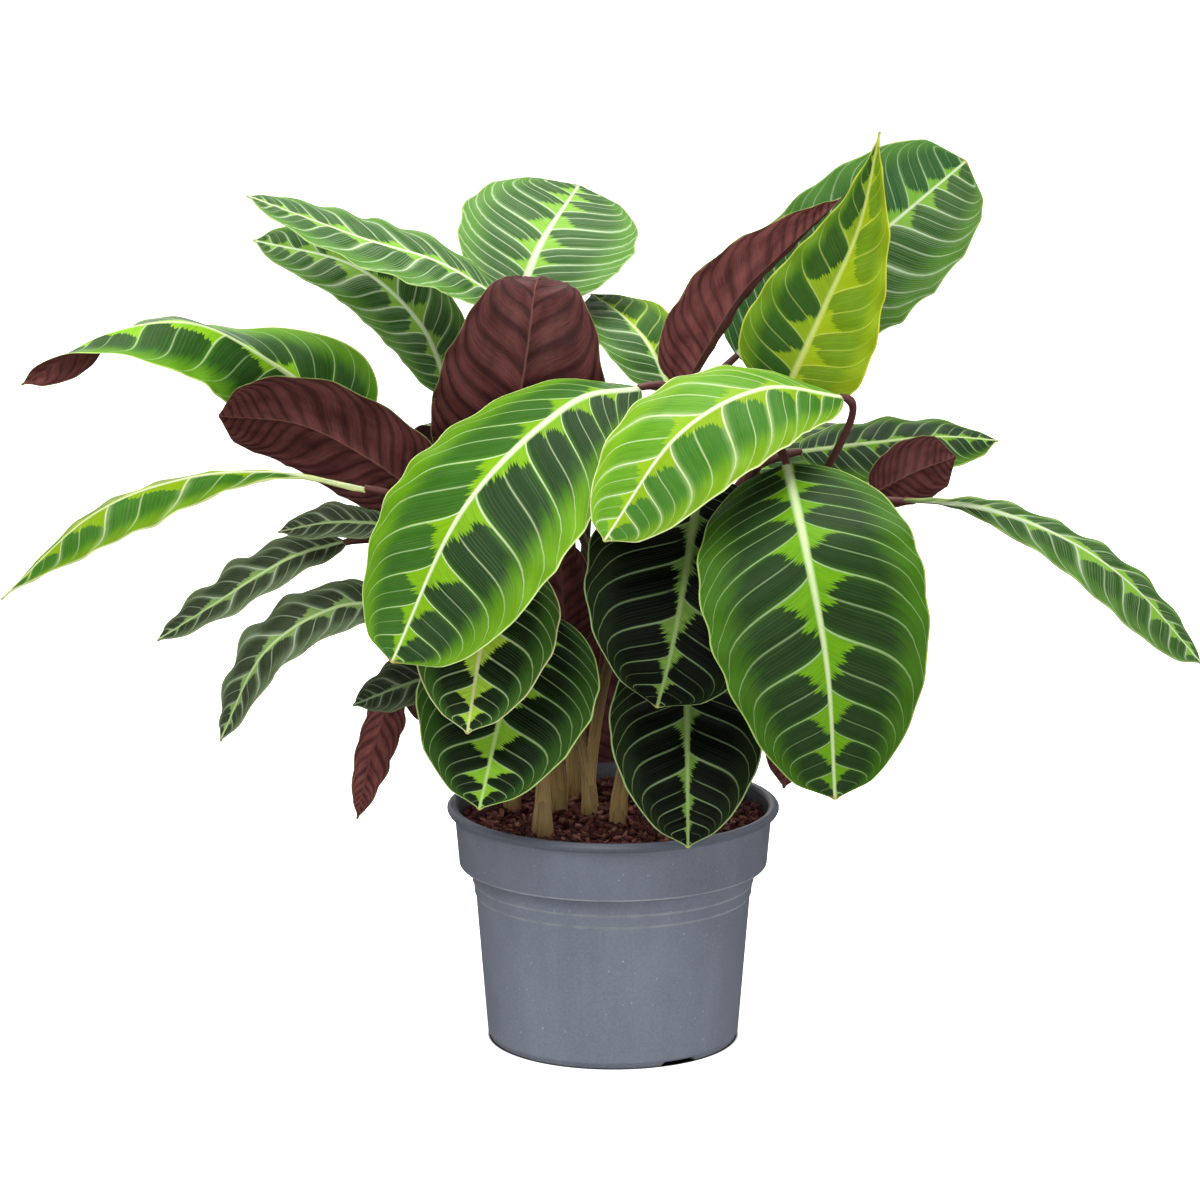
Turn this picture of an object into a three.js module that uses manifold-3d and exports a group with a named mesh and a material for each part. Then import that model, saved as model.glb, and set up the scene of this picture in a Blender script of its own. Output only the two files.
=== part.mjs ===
// A potted calathea: a 21 cm nursery pot, the soil that fills it, the clumps of leaf stalks
// that stand in the soil, and the broad patterned blades at the stalks' ends.
// Millimetres, +Z up, the viewer looks along +Y, and the origin is the centre of the pot's foot.
import * as THREE from 'three';
import { mergeVertices } from 'three/addons/utils/BufferGeometryUtils.js';
import Module from 'manifold-3d';

const wasm = await Module();
wasm.setup();

// ---- Driving dimensions ----

const GAP = 0.4; // between pieces that touch
const WELD = 1e-4; // points closer than this are one point

const POT = {
  sides: 44,
  height: 152,
  lipRadius: 105,
  lipHeight: 5,
  lipRound: 2, // the lip's edges are rounded by about this much
  collarRadius: 100.3, // just under the lip
  collarFootRadius: 97.4,
  ledgeTop: 113.5, // the collar ends here, over a nearly level ledge
  ledgeFoot: 112,
  bodyRadius: 90, // where the ledge meets the body
  cornerRadius: 81.4, // where the body meets the standing ring
  cornerHeight: 4,
  ringRadius: 78,
  ringWidth: 5,
  wall: 2.2,
  floorUnder: 3, // the floor is raised this far above the ground
  floorTop: 5.5,
  centreFootRadius: 20,
  lines: [94, 102], // heights of the two fine raised lines
  lineStep: 0.8,
  lineSlope: 0.5, // each line's edge climbs this far above and below its height
  drainHoles: 6,
  drainRadius: 5,
  drainCircle: 52,
  drainSides: 10,
  notches: 3,
  notchAngle: -59, // degrees, the notch that shows at the front right
  notchWidth: 23,
  notchHeight: 2.4,
};

const SOIL = {
  level: 142,
  rings: 7,
  clearance: 0.5, // to the pot's wall and floor
  relief: 2.6, // the bark chunks stand this far above and below the level
  seed: 41,
};

const STALK = {
  sides: 6,
  steps: 8,
  tipRadius: 2.2,
  baseRadius: 3.6,
  sheathSides: 10,
  sheathTop: 160,
  sheathTaper: 0.8, // the sheath's radius at its top, as a share of that at its foot
  holeDepth: 34, // the sheathed base reaches this far under the soil's level
  spread: 1.6, // the stalks of a clump start this far from its middle
  sunk: 12, // and this far below the top of its sheath
  taper: 1.3, // they reach their tip radius at this inverse share of their length
  lean: 0.12, // how far they move sideways while they rise
  rise: 0.55, // how far up a stalk stays nearly upright, as a share of its height
  reach: 0.3, // how early it turns towards its blade, as a share of its length
};

const BLADE = {
  thickness: 0.9,
  step: 15.5, // along the midrib; the margin waves once in two steps
  columns: 4, // strips across
  edgeWave: 1, // height of the margin's wave
  droop: 0.06, // how far the edges curve down, as a share of the half width
  baseWidth: 5,
  tipWidth: 2.4,
  keel: 2.2, // the midrib stands this far out of the underside at the base,
  keelTip: 0.4, // and this far at the tip
  outline: [0.5, 0.68], // how its width grows from the base and fades to the tip; less is blunter
  edgeScallop: 0.014, // share of the half width
};

const COLOUR = {
  pot: 0x6f7889,
  soil: 0x43251f,
  stalk: 0xa98f52,
  dark: 0x2c4a2b,
  mid: 0x3d7a2c,
  lime: 0x86b82a,
};

// Where each clump stands in the soil, and the radius of its sheath there.
const SHOOTS = {
  shoot_1: [-44, -46, 7],
  shoot_2: [-34, 12, 5.6],
  shoot_3: [-15, 4, 5.4],
  shoot_4: [3, -17, 5.4],
  shoot_5: [46, -26, 6],
  shoot_6: [44, 22, 6.6],
  shoot_7: [-24, 54, 6],
  shoot_8: [18, 52, 6.2],
  shoot_9: [-64, 20, 6],
};

// Each blade: the clump it grows from, its width, the points that its midrib passes from base to
// tip, the direction that its upper side faces halfway along, and how far its halves fold up. Some
// are also turned about the midrib at their base and tip (twist), fill out in their own way
// (outline), meet their stalk late in its bend (reach), or have a margin so many times wavier
// than the rest (wavy). Angles are in degrees.
const LEAVES = {
  // the left, from the top down
  leaf_01: { shoot: 'shoot_7', width: 90, face: [0, -0.45, 0.9], twist: [-135, 130], fold: -26,
    outline: [0.3, 0.75],
    rib: [[-165, 72, 380], [-212, 46, 424], [-262, 17, 456], [-316, -8, 453], [-366, -25, 425]] },
  leaf_02: { shoot: 'shoot_2', width: 72, face: [0.1, 0.9, 0.3], fold: 6, outline: [0.3, 0.4],
    rib: [[-108, -22, 347], [-152, -18, 378], [-195, -16, 399], [-245, -16, 404]] },
  leaf_03: { shoot: 'shoot_3', width: 110, face: [0.1, 0.97, -0.1], fold: 6,
    outline: [0.5, 0.95],
    rib: [[-70, 8, 334], [-61, -8, 393], [-53, -14, 446], [-48, 2, 483], [-42, 42, 481]] },
  leaf_04: { shoot: 'shoot_7', width: 78, face: [0.1, -0.3, 0.95], fold: 0, wavy: 1.5,
    rib: [[-62, 50, 460], [-108, 40, 490], [-157, 28, 508], [-228, 20, 536]] },
  leaf_05: { shoot: 'shoot_7', width: 64, face: [0.4, -0.8, 0.5], fold: 10,
    rib: [[-104, 70, 402], [-123, 74, 446], [-164, 78, 482], [-228, 82, 498]] },
  leaf_06: { shoot: 'shoot_8', width: 114, face: [0.15, -0.45, 0.88], fold: 4,
    outline: [0.45, 0.45],
    rib: [[-60, 78, 460], [-46, 118, 490], [-22, 195, 516]] },
  leaf_07: { shoot: 'shoot_8', width: 64, face: [0.3, -0.6, 0.75], fold: 4,
    rib: [[36, 80, 402], [23, 92, 428], [6, 112, 444], [-14, 138, 454]] },
  // the right, from the top down
  leaf_08: { shoot: 'shoot_8', width: 106, face: [-0.1, -0.9, 0.4], fold: 4, outline: [0.42, 0.4],
    rib: [[79, 92, 422], [121, 100, 458], [177, 112, 503], [226, 128, 542]] },
  leaf_09: { shoot: 'shoot_6', width: 86, face: [-0.2, -0.95, 0.2], fold: 12, outline: [0.3, 1.3],
    wavy: 1.6,
    rib: [[107, -8, 417], [131, 0, 469], [153, 8, 520], [165, 15, 577]] },
  leaf_10: { shoot: 'shoot_5', width: 97, face: [-0.25, -0.65, 0.75], fold: -10, reach: 0.16,
    outline: [0.6, 0.58],
    rib: [[140, -60, 424], [90, -92, 435], [38, -130, 413], [-6, -165, 356]] },
  leaf_11: { shoot: 'shoot_6', width: 62, face: [-0.4, 0.8, 0.4], fold: 38, outline: [0.35, 0.9],
    rib: [[42, 30, 413], [76, 35, 468], [101, 38, 494], [143, 45, 531]] },
  // the front
  leaf_12: { shoot: 'shoot_5', width: 136, face: [0, -0.9, 0.4], fold: -5, outline: [0.42, 0.55],
    rib: [[105, -100, 390], [115, -165, 350], [127, -195, 285], [132, -205, 207]] },
  leaf_13: { shoot: 'shoot_4', width: 122, face: [0, -0.85, 0.5], fold: 4, outline: [0.45, 0.55],
    rib: [[53, -75, 378], [45, -120, 335], [35, -145, 285], [26, -150, 250]] },
  leaf_14: { shoot: 'shoot_4', width: 96, face: [0, -0.7, 0.7], fold: 5,
    rib: [[45, -60, 270], [45, -115, 220], [45, -160, 165]] },
  leaf_15: { shoot: 'shoot_1', width: 90, face: [0, -0.8, 0.6], fold: 6,
    rib: [[-67, -62, 325], [-80, -108, 282], [-89, -135, 230]] },
  leaf_16: { shoot: 'shoot_3', width: 142, face: [-0.35, -0.65, 0.72], fold: -12,
    outline: [0.62, 0.48],
    rib: [[16, -45, 427], [-28, -72, 421], [-90, -122, 368], [-134, -150, 278]] },
  leaf_17: { shoot: 'shoot_1', width: 114, face: [-0.2, -0.8, 0.6], fold: 4,
    rib: [[-42, -50, 286], [-65, -87, 244], [-82, -130, 181]] },
  leaf_18: { shoot: 'shoot_2', width: 46, face: [0, -0.42, 0.9], fold: -32, outline: [2.6, 1.6],
    wavy: 1.5,
    rib: [[-153, -45, 364], [-208, -55, 376], [-263, -70, 375], [-318, -88, 356],
      [-374, -100, 306]] },
  leaf_19: { shoot: 'shoot_9', width: 32, face: [0, -0.5, 0.85], fold: 8, wavy: 1.6,
    rib: [[-138, -46, 341], [-174, -50, 343], [-207, -54, 338]] },
  leaf_20: { shoot: 'shoot_9', width: 40, face: [-0.2, -0.5, 0.85], fold: 8, wavy: 2.2,
    rib: [[-167, -28, 326], [-203, -40, 317], [-252, -55, 289], [-282, -62, 271]] },
  leaf_21: { shoot: 'shoot_9', width: 47, face: [-0.4, -0.6, 0.7], fold: 6, wavy: 2.2,
    outline: [0.4, 0.68],
    rib: [[-129, -55, 293], [-173, -65, 292], [-215, -80, 267], [-242, -90, 214]] },
  leaf_22: { shoot: 'shoot_9', width: 38, face: [0, -0.6, 0.8], fold: 6, wavy: 2.2,
    rib: [[-99, -35, 246], [-130, -42, 238], [-162, -50, 227]] },
  leaf_23: { shoot: 'shoot_9', width: 27, face: [0.3, 0.9, 0.1], fold: 18, wavy: 1.8,
    rib: [[-138, 8, 237], [-146, 4, 201], [-154, 2, 176], [-162, 0, 141]] },
  // the far right
  leaf_24: { shoot: 'shoot_6', width: 62, face: [0, -0.5, 0.85], fold: -12, wavy: 1.8,
    rib: [[117, 10, 376], [161, 22, 379], [206, 32, 381], [243, 40, 377]] },
  leaf_25: { shoot: 'shoot_6', width: 42, face: [0, 0.9, 0.1], fold: 8, outline: [0.4, 0.35],
    rib: [[161, -8, 353], [186, -2, 365], [214, 5, 374]] },
  leaf_26: { shoot: 'shoot_5', width: 46, face: [0.2, -0.5, 0.85], fold: -16,
    twist: [150, 0], outline: [1.6, 0.7], wavy: 1.8,
    rib: [[180, -36, 354], [225, -45, 352], [276, -65, 337], [319, -78, 309],
      [361, -90, 263]] },
  leaf_27: { shoot: 'shoot_5', width: 48, face: [0, 0.95, 0.1], fold: 10,
    rib: [[114, -100, 282], [111, -134, 240], [103, -147, 199]] },
  leaf_28: { shoot: 'shoot_3', width: 44, face: [0, 0.9, 0.3], fold: 8,
    rib: [[-29, 24, 245], [-32, 28, 283], [-34, 34, 318]] },
  // the back, out of the photograph's sight
  leaf_29: { shoot: 'shoot_8', width: 110, face: [0, 0.7, 0.7], fold: 5,
    rib: [[20, 90, 375], [25, 160, 380], [30, 225, 335], [35, 255, 265]] },
  leaf_30: { shoot: 'shoot_6', width: 96, face: [0.4, 0.6, 0.7], fold: 6,
    rib: [[78, 82, 312], [118, 130, 316], [150, 182, 284], [165, 212, 230]] },
  leaf_31: { shoot: 'shoot_7', width: 104, face: [-0.4, 0.6, 0.7], fold: 5,
    rib: [[-50, 90, 370], [-82, 145, 372], [-110, 200, 330], [-120, 225, 265]] },
  leaf_32: { shoot: 'shoot_8', width: 104, face: [0.1, 0.8, 0.6], fold: 6, outline: [0.5, 0.4],
    rib: [[0, 80, 285], [-4, 120, 264], [-8, 148, 212], [-12, 158, 128]] },
  leaf_33: { shoot: 'shoot_7', width: 92, face: [-0.4, 0.7, 0.6], fold: 6,
    rib: [[-57, 76, 262], [-86, 107, 254], [-108, 126, 215], [-116, 136, 165]] },
  leaf_34: { shoot: 'shoot_6', width: 92, face: [0.5, 0.6, 0.6], fold: 6,
    rib: [[85, 50, 262], [108, 84, 254], [120, 110, 215], [122, 122, 165]] },
  leaf_35: { shoot: 'shoot_6', width: 84, face: [0.3, 0.4, 0.85], fold: 5,
    rib: [[92, 84, 348], [120, 126, 368], [143, 174, 360], [156, 208, 328]] },
};

const BRIGHT = ['leaf_09', 'leaf_10', 'leaf_16', 'leaf_18'];
const SHADED = ['leaf_13', 'leaf_14', 'leaf_15', 'leaf_17', 'leaf_19', 'leaf_20', 'leaf_21',
  'leaf_22'];

// ---- Helpers ----

const vector = (p) => new THREE.Vector3(...p);
const lerp = THREE.MathUtils.lerp;
const radians = THREE.MathUtils.degToRad;

/** A seeded stream of numbers from 0 to 1. */
function random(seed) {
  let state = seed;
  return () => {
    state = (state * 1664525 + 1013904223) % 4294967296;
    return state / 4294967296;
  };
}

/** A closed mesh from its points and faces; a face is a list of point numbers, outward. */
function solid(points, faces) {
  const geometry = new THREE.BufferGeometry();
  const flat = points.flatMap((p) => [p.x, p.y, p.z]);
  geometry.setAttribute('position', new THREE.Float32BufferAttribute(flat, 3));
  geometry.setIndex(faces.flat());
  return geometry;
}

/** A copy that holds positions only. */
function bare(geometry) {
  const copy = geometry.clone();
  copy.deleteAttribute('normal');
  copy.deleteAttribute('uv');
  return copy;
}

/** The same closed mesh as a solid that can be joined and cut. */
function toManifold(geometry) {
  const merged = mergeVertices(bare(geometry), WELD);
  return new wasm.Manifold(new wasm.Mesh({
    numProp: 3,
    vertProperties: new Float32Array(merged.attributes.position.array),
    triVerts: new Uint32Array(merged.index.array),
  }));
}

function fromManifold(body) {
  const mesh = body.getMesh();
  const geometry = new THREE.BufferGeometry();
  geometry.setAttribute('position', new THREE.BufferAttribute(mesh.vertProperties, 3));
  geometry.setIndex(new THREE.BufferAttribute(mesh.triVerts, 1));
  return geometry;
}

/** A closed lathe about Z; the profile is [radius, height] pairs, from the axis to the axis. */
function turned(profile, sides) {
  const points = profile.map(([r, z]) => new THREE.Vector2(r, z));
  const geometry = new THREE.LatheGeometry(points, sides);
  geometry.rotateX(Math.PI / 2);
  return geometry;
}

/** A closed round post, from one height up to another. */
function upright(topRadius, footRadius, foot, top, sides) {
  const post = new THREE.CylinderGeometry(topRadius, footRadius, top - foot, sides);
  post.rotateX(Math.PI / 2);
  post.translate(0, 0, (foot + top) / 2);
  return post;
}

/** Equal steps along a curve, with their tangents, and normals that don't spin. */
function framedPath(curve, steps, face, at) {
  const places = curve.getSpacedPoints(steps);
  const tangents = places.map((_, i) => curve.getTangentAt(i / steps));
  const across = (normal, i) => {
    const t = tangents[i];
    return normal.clone().addScaledVector(t, -normal.dot(t)).normalize();
  };
  const normals = [];
  normals[at] = across(face, at);
  for (let i = at + 1; i <= steps; i += 1) {
    normals[i] = across(normals[i - 1], i);
  }
  for (let i = at - 1; i >= 0; i -= 1) {
    normals[i] = across(normals[i + 1], i);
  }
  return { places, tangents, normals };
}

/** Joins rings of equal length into one closed skin, with a fan over each end. */
function skin(rings) {
  const n = rings[0].length;
  const faces = [];
  for (let i = 0; i < rings.length - 1; i += 1) {
    for (let j = 0; j < n; j += 1) {
      const a = i * n + j;
      const b = i * n + ((j + 1) % n);
      faces.push([a, b, b + n], [a, b + n, a + n]);
    }
  }
  const last = (rings.length - 1) * n;
  for (let j = 1; j < n - 1; j += 1) {
    faces.push([0, j + 1, j], [last, last + j, last + j + 1]);
  }
  return solid(rings.flat(), faces);
}

// ---- The pot ----

function potProfile() {
  const { height: top, wall, lineStep, lipHeight, lipRound } = POT;
  const slope = (POT.bodyRadius - POT.cornerRadius) / (POT.ledgeFoot - POT.floorTop);
  const lineSteps = POT.lines.length * lineStep;
  const bodyAt = (z) => POT.cornerRadius + slope * (z - POT.floorTop) - lineSteps;
  const outside = [
    [0, 0],
    [POT.centreFootRadius, 0],
    [POT.centreFootRadius + 1, POT.floorUnder],
    [POT.ringRadius - POT.ringWidth - 1, POT.floorUnder],
    [POT.ringRadius - POT.ringWidth, 0],
    [POT.ringRadius, 0],
    [bodyAt(POT.cornerHeight), POT.cornerHeight],
  ];
  POT.lines.forEach((z, i) => {
    outside.push([bodyAt(z) + lineStep * i, z - POT.lineSlope]);
    outside.push([bodyAt(z) + lineStep * (i + 1), z + POT.lineSlope]);
  });
  outside.push(
    [POT.bodyRadius, POT.ledgeFoot],
    [POT.collarFootRadius, POT.ledgeTop],
    [POT.collarRadius, top - lipHeight - 1],
    [POT.lipRadius - lipRound / 2, top - lipHeight],
    [POT.lipRadius, top - lipHeight + lipRound],
    [POT.lipRadius, top - lipRound],
    [POT.lipRadius - lipRound, top],
  );
  const inside = [
    [POT.collarRadius - wall + lipRound, top],
    [POT.collarRadius - wall, top - lipRound],
    [POT.collarFootRadius - wall, POT.ledgeTop + wall],
    [POT.bodyRadius - wall, POT.ledgeFoot + wall],
    [POT.cornerRadius - wall, POT.floorTop + wall],
    [POT.cornerRadius - 2 * wall, POT.floorTop],
    [0, POT.floorTop],
  ];
  return { outside, inside };
}

function potBody() {
  const { outside, inside } = potProfile();
  let body = toManifold(turned([...outside, ...inside], POT.sides));
  for (let i = 0; i < POT.drainHoles; i += 1) {
    const hole = upright(POT.drainRadius, POT.drainRadius, 0, POT.floorTop * 2, POT.drainSides);
    hole.translate(POT.drainCircle, 0, -POT.floorTop / 2);
    hole.rotateZ((2 * Math.PI * i) / POT.drainHoles);
    body = body.subtract(toManifold(hole));
  }
  for (let i = 0; i < POT.notches; i += 1) {
    const depth = 4 * POT.ringWidth; // well past both faces of the ring
    const notch = new THREE.BoxGeometry(depth, POT.notchWidth, POT.notchHeight * 2);
    notch.translate(POT.ringRadius, 0, 0);
    notch.rotateZ(radians(POT.notchAngle) + (2 * Math.PI * i) / POT.notches);
    body = body.subtract(toManifold(notch));
  }
  return body;
}

// ---- The soil ----

function soilBody() {
  const clear = SOIL.clearance;
  const ledge = POT.ledgeTop + POT.wall;
  const rise = (SOIL.level - ledge) / (POT.height - POT.lipRound - ledge);
  const rimRadius = lerp(POT.collarFootRadius, POT.collarRadius, rise) - POT.wall - clear;
  const rings = [
    [0, POT.floorTop + clear],
    [POT.cornerRadius - 2 * POT.wall - clear, POT.floorTop + clear],
    [POT.cornerRadius - POT.wall - clear, POT.floorTop + POT.wall + clear],
    [POT.bodyRadius - POT.wall - clear, POT.ledgeFoot + POT.wall + clear],
    [POT.collarFootRadius - POT.wall - clear, ledge + clear],
    [rimRadius, SOIL.level],
  ];
  for (let i = 1; i < SOIL.rings; i += 1) {
    rings.push([rimRadius * (1 - i / SOIL.rings), SOIL.level]);
  }
  rings.push([0, SOIL.level]);
  const geometry = turned(rings, POT.sides);
  const merged = mergeVertices(bare(geometry), WELD);
  const next = random(SOIL.seed);
  const spots = merged.attributes.position;
  for (let i = 0; i < spots.count; i += 1) {
    const radius = Math.hypot(spots.getX(i), spots.getY(i));
    const onTop = spots.getZ(i) > SOIL.level - SOIL.relief;
    if (onTop && radius < rimRadius - 1) {
      spots.setZ(i, SOIL.level + SOIL.relief * (2 * next() - 1));
    }
  }
  let body = toManifold(merged);
  for (const [x, y, sheathRadius] of Object.values(SHOOTS)) {
    const radius = sheathRadius + GAP;
    const bottom = SOIL.level - STALK.holeDepth - GAP;
    const hole = upright(radius, radius, bottom, SOIL.level + STALK.holeDepth, STALK.sheathSides);
    hole.translate(x, y, 0);
    body = body.subtract(toManifold(hole));
  }
  return body;
}

// ---- The blades ----

/** The blade's half width, as a share of its greatest, from base (0) to tip (1). */
function bladeOutline([a, b], t) {
  const peak = a / (a + b);
  return (t / peak) ** a * ((1 - t) / (1 - peak)) ** b;
}

/** How far the blade is turned about its midrib at t, on top of its direction halfway. */
function bladeTwist([atBase, atTip], t) {
  const fromMiddle = 2 * t - 1;
  return radians((t < 0.5 ? atBase : atTip) * fromMiddle * fromMiddle);
}

function bladeGeometry(leaf) {
  const { columns, thickness } = BLADE;
  const rib = new THREE.CatmullRomCurve3(leaf.rib.map(vector), false, 'catmullrom', 0.5);
  const stations = 2 * Math.round(rib.getLength() / BLADE.step / 2);
  const middle = stations / 2;
  const path = framedPath(rib, stations, vector(leaf.face), middle);
  const fold = radians(leaf.fold);
  const rings = path.places.map((place, i) => {
    const t = i / stations;
    const tangent = path.tangents[i];
    const up = path.normals[i].clone().applyAxisAngle(tangent, bladeTwist(leaf.twist ?? [0, 0], t));
    const side = tangent.clone().cross(up);
    const wave = (leaf.wavy ?? 1) * Math.cos(Math.PI * i) * Math.sin(Math.PI * t);
    const least = lerp(BLADE.baseWidth, BLADE.tipWidth, t) / 2;
    const half = Math.max(least, (leaf.width / 2) * bladeOutline(leaf.outline ?? BLADE.outline, t));
    const upper = [];
    const under = [];
    for (let j = 0; j <= columns; j += 1) {
      const s = (2 * j) / columns - 1;
      const reach = half * (1 + BLADE.edgeScallop * wave * Math.abs(s));
      const out = reach * s * Math.cos(fold);
      const bend = Math.abs(s) * Math.sin(fold) - BLADE.droop * s * s;
      const lift = reach * bend + BLADE.edgeWave * wave * s * s;
      const keel = j === columns / 2 ? lerp(BLADE.keel, BLADE.keelTip, t) : 0;
      const spot = place.clone().addScaledVector(side, out).addScaledVector(up, lift);
      upper.push(spot.clone().addScaledVector(up, thickness / 2));
      under.push(spot.clone().addScaledVector(up, -thickness / 2 - keel));
    }
    return [...upper, ...under.reverse()];
  });
  return bladeSkin(rings);
}

/** Closes a blade's rings, with the upper and the under side split into the same triangles. */
function bladeSkin(rings) {
  const n = rings[0].length;
  const across = n / 2 - 1;
  const faces = [];
  const quad = (a, b, c, d, flip) => {
    faces.push(...(flip ? [[a, b, d], [b, c, d]] : [[a, b, c], [a, c, d]]));
  };
  for (let i = 0; i < rings.length - 1; i += 1) {
    for (let j = 0; j < n; j += 1) {
      const a = i * n + j;
      const b = i * n + ((j + 1) % n);
      quad(a, b, b + n, a + n, j > across);
    }
  }
  const last = (rings.length - 1) * n;
  for (let j = 0; j < across; j += 1) {
    const k = n - 1 - j;
    faces.push([j, k - 1, j + 1], [j, k, k - 1]);
    faces.push([last + j, last + j + 1, last + k - 1], [last + j, last + k - 1, last + k]);
  }
  return solid(rings.flat(), faces);
}

// ---- The stalks ----

/** A round tapering rod along a curve. */
function rod(curve, steps, sides, radiusAt) {
  const path = framedPath(curve, steps, new THREE.Vector3(0.31, 0.95, 0), 0);
  const rings = path.places.map((place, i) => {
    const side = path.tangents[i].clone().cross(path.normals[i]);
    return Array.from({ length: sides }, (_, j) => {
      const angle = (2 * Math.PI * j) / sides;
      const radius = radiusAt(i / steps);
      return place.clone()
        .addScaledVector(path.normals[i], radius * Math.cos(angle))
        .addScaledVector(side, radius * Math.sin(angle));
    });
  });
  return skin(rings);
}

function stalkPath(foot, leaf) {
  const [base, next] = leaf.rib.map(vector);
  const heading = next.clone().sub(base).normalize();
  const end = base.clone().addScaledVector(heading, -GAP);
  const length = foot.distanceTo(end);
  const rising = foot.clone().lerp(end, STALK.lean);
  rising.z = lerp(foot.z, end.z, STALK.rise);
  const turning = end.clone().addScaledVector(heading, -(leaf.reach ?? STALK.reach) * length);
  return new THREE.CubicBezierCurve3(foot, rising, turning, end);
}

function shootBody([x, y, radius], leaves) {
  const { sheathTop, sheathSides, sheathTaper, spread } = STALK;
  const foot = SOIL.level - STALK.holeDepth;
  const sheath = upright(radius * sheathTaper, radius, foot, sheathTop, sheathSides);
  sheath.translate(x, y, 0);
  let body = toManifold(sheath);
  leaves.forEach((leaf, i) => {
    const angle = (2 * Math.PI * i) / leaves.length;
    const start = new THREE.Vector3(spread * Math.cos(angle), spread * Math.sin(angle), 0);
    start.add(new THREE.Vector3(x, y, sheathTop - STALK.sunk));
    const curve = stalkPath(start, leaf);
    const taper = (t) => lerp(STALK.baseRadius, STALK.tipRadius, Math.min(1, t * STALK.taper));
    body = body.add(toManifold(rod(curve, STALK.steps, STALK.sides, taper)));
  });
  return body;
}

// ---- The whole plant ----

const plant = new THREE.Group();

function place(name, geometry, colour, roughness) {
  geometry.computeVertexNormals();
  const material = new THREE.MeshStandardMaterial({ color: colour, roughness, metalness: 0 });
  const mesh = new THREE.Mesh(geometry, material);
  mesh.name = name;
  plant.add(mesh);
}

function leafColour(name) {
  if (BRIGHT.includes(name)) {
    return COLOUR.lime;
  }
  return SHADED.includes(name) ? COLOUR.dark : COLOUR.mid;
}

place('pot', fromManifold(potBody()), COLOUR.pot, 0.5);
place('soil', fromManifold(soilBody()), COLOUR.soil, 0.95);
for (const [name, spot] of Object.entries(SHOOTS)) {
  const leaves = Object.values(LEAVES).filter((leaf) => leaf.shoot === name);
  place(name, fromManifold(shootBody(spot, leaves)), COLOUR.stalk, 0.6);
}
for (const [name, leaf] of Object.entries(LEAVES)) {
  place(name, bladeGeometry(leaf), leafColour(name), 0.45);
}

export default plant;
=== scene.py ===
"""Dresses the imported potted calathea: patterned blades, sheathed stalks, bark and a plastic pot.

Sizes are in millimetres, as in the part's own source, and become metres where a mesh is made.
+Z is up, the viewer looks along +Y, and the origin is the centre of the pot's foot.
"""
import math
from types import SimpleNamespace

import bpy
import numpy as np
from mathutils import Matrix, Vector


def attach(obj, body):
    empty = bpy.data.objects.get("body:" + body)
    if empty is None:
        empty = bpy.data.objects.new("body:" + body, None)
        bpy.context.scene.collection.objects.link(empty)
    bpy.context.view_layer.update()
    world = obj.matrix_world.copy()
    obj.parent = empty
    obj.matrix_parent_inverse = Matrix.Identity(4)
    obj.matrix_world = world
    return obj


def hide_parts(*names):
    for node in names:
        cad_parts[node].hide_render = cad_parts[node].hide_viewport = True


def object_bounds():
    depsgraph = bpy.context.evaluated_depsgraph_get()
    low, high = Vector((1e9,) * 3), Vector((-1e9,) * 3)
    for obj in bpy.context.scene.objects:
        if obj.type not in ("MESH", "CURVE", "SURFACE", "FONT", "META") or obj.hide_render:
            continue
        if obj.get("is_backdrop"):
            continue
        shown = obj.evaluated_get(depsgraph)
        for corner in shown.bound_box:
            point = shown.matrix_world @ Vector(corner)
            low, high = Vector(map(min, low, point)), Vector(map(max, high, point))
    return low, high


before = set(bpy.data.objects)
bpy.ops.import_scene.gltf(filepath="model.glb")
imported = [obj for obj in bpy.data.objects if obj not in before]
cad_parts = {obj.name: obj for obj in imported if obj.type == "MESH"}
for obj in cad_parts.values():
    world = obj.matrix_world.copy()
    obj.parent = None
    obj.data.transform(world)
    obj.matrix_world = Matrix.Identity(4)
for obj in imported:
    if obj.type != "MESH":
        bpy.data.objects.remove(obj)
cad_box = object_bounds()

MM = 0.001

# ---- Driving dimensions, repeated from the part's source ----

POT = SimpleNamespace(
    height=152,
    lipRadius=105,
    lipHeight=5,
    collarRadius=100.3,  # just under the lip
    collarFootRadius=97.4,
    ledgeTop=113.5,  # the collar ends here, over a nearly level ledge
    ledgeFoot=112,
    bodyRadius=90,
    cornerRadius=81.4,
    cornerHeight=4,
    ringRadius=78,
    ringWidth=5,
    wall=2.2,
    floorUnder=3,
    floorTop=5.5,
    centreFootRadius=20,
    lines=[94, 102],  # heights of the two fine raised lines
    lineStep=0.8,
    lineSlope=0.5,
    drainHoles=6,
    drainRadius=5,
    drainCircle=52,
    notches=3,
    notchAngle=-59,
    notchWidth=23,
    notchHeight=2.4,
)
SOIL_LEVEL = 142
SOIL_FOOT = 130  # the visible top layer of soil reaches down to here

# sheathTop is a height. A stalk's foot stands spread from the clump's middle and is sunk in the
# sheath. lean and rise place the first handle of its curve, as shares of the way to the blade
# across and up, and reach is how long the last handle is.
STALK = SimpleNamespace(sheathTop=160, spread=1.6, sunk=12, lean=0.12, rise=0.55, reach=0.3)

BLADE = SimpleNamespace(
    thickness=0.8,
    step=15.5,  # the margin waves once in two of these steps
    edgeWave=1,
    droop=0.06,
    baseWidth=5,
    tipWidth=1.6,
    keel=2.2,
    keelTip=0.4,
    outline=(0.5, 0.68),
    edgeScallop=0.014,
)

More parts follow.
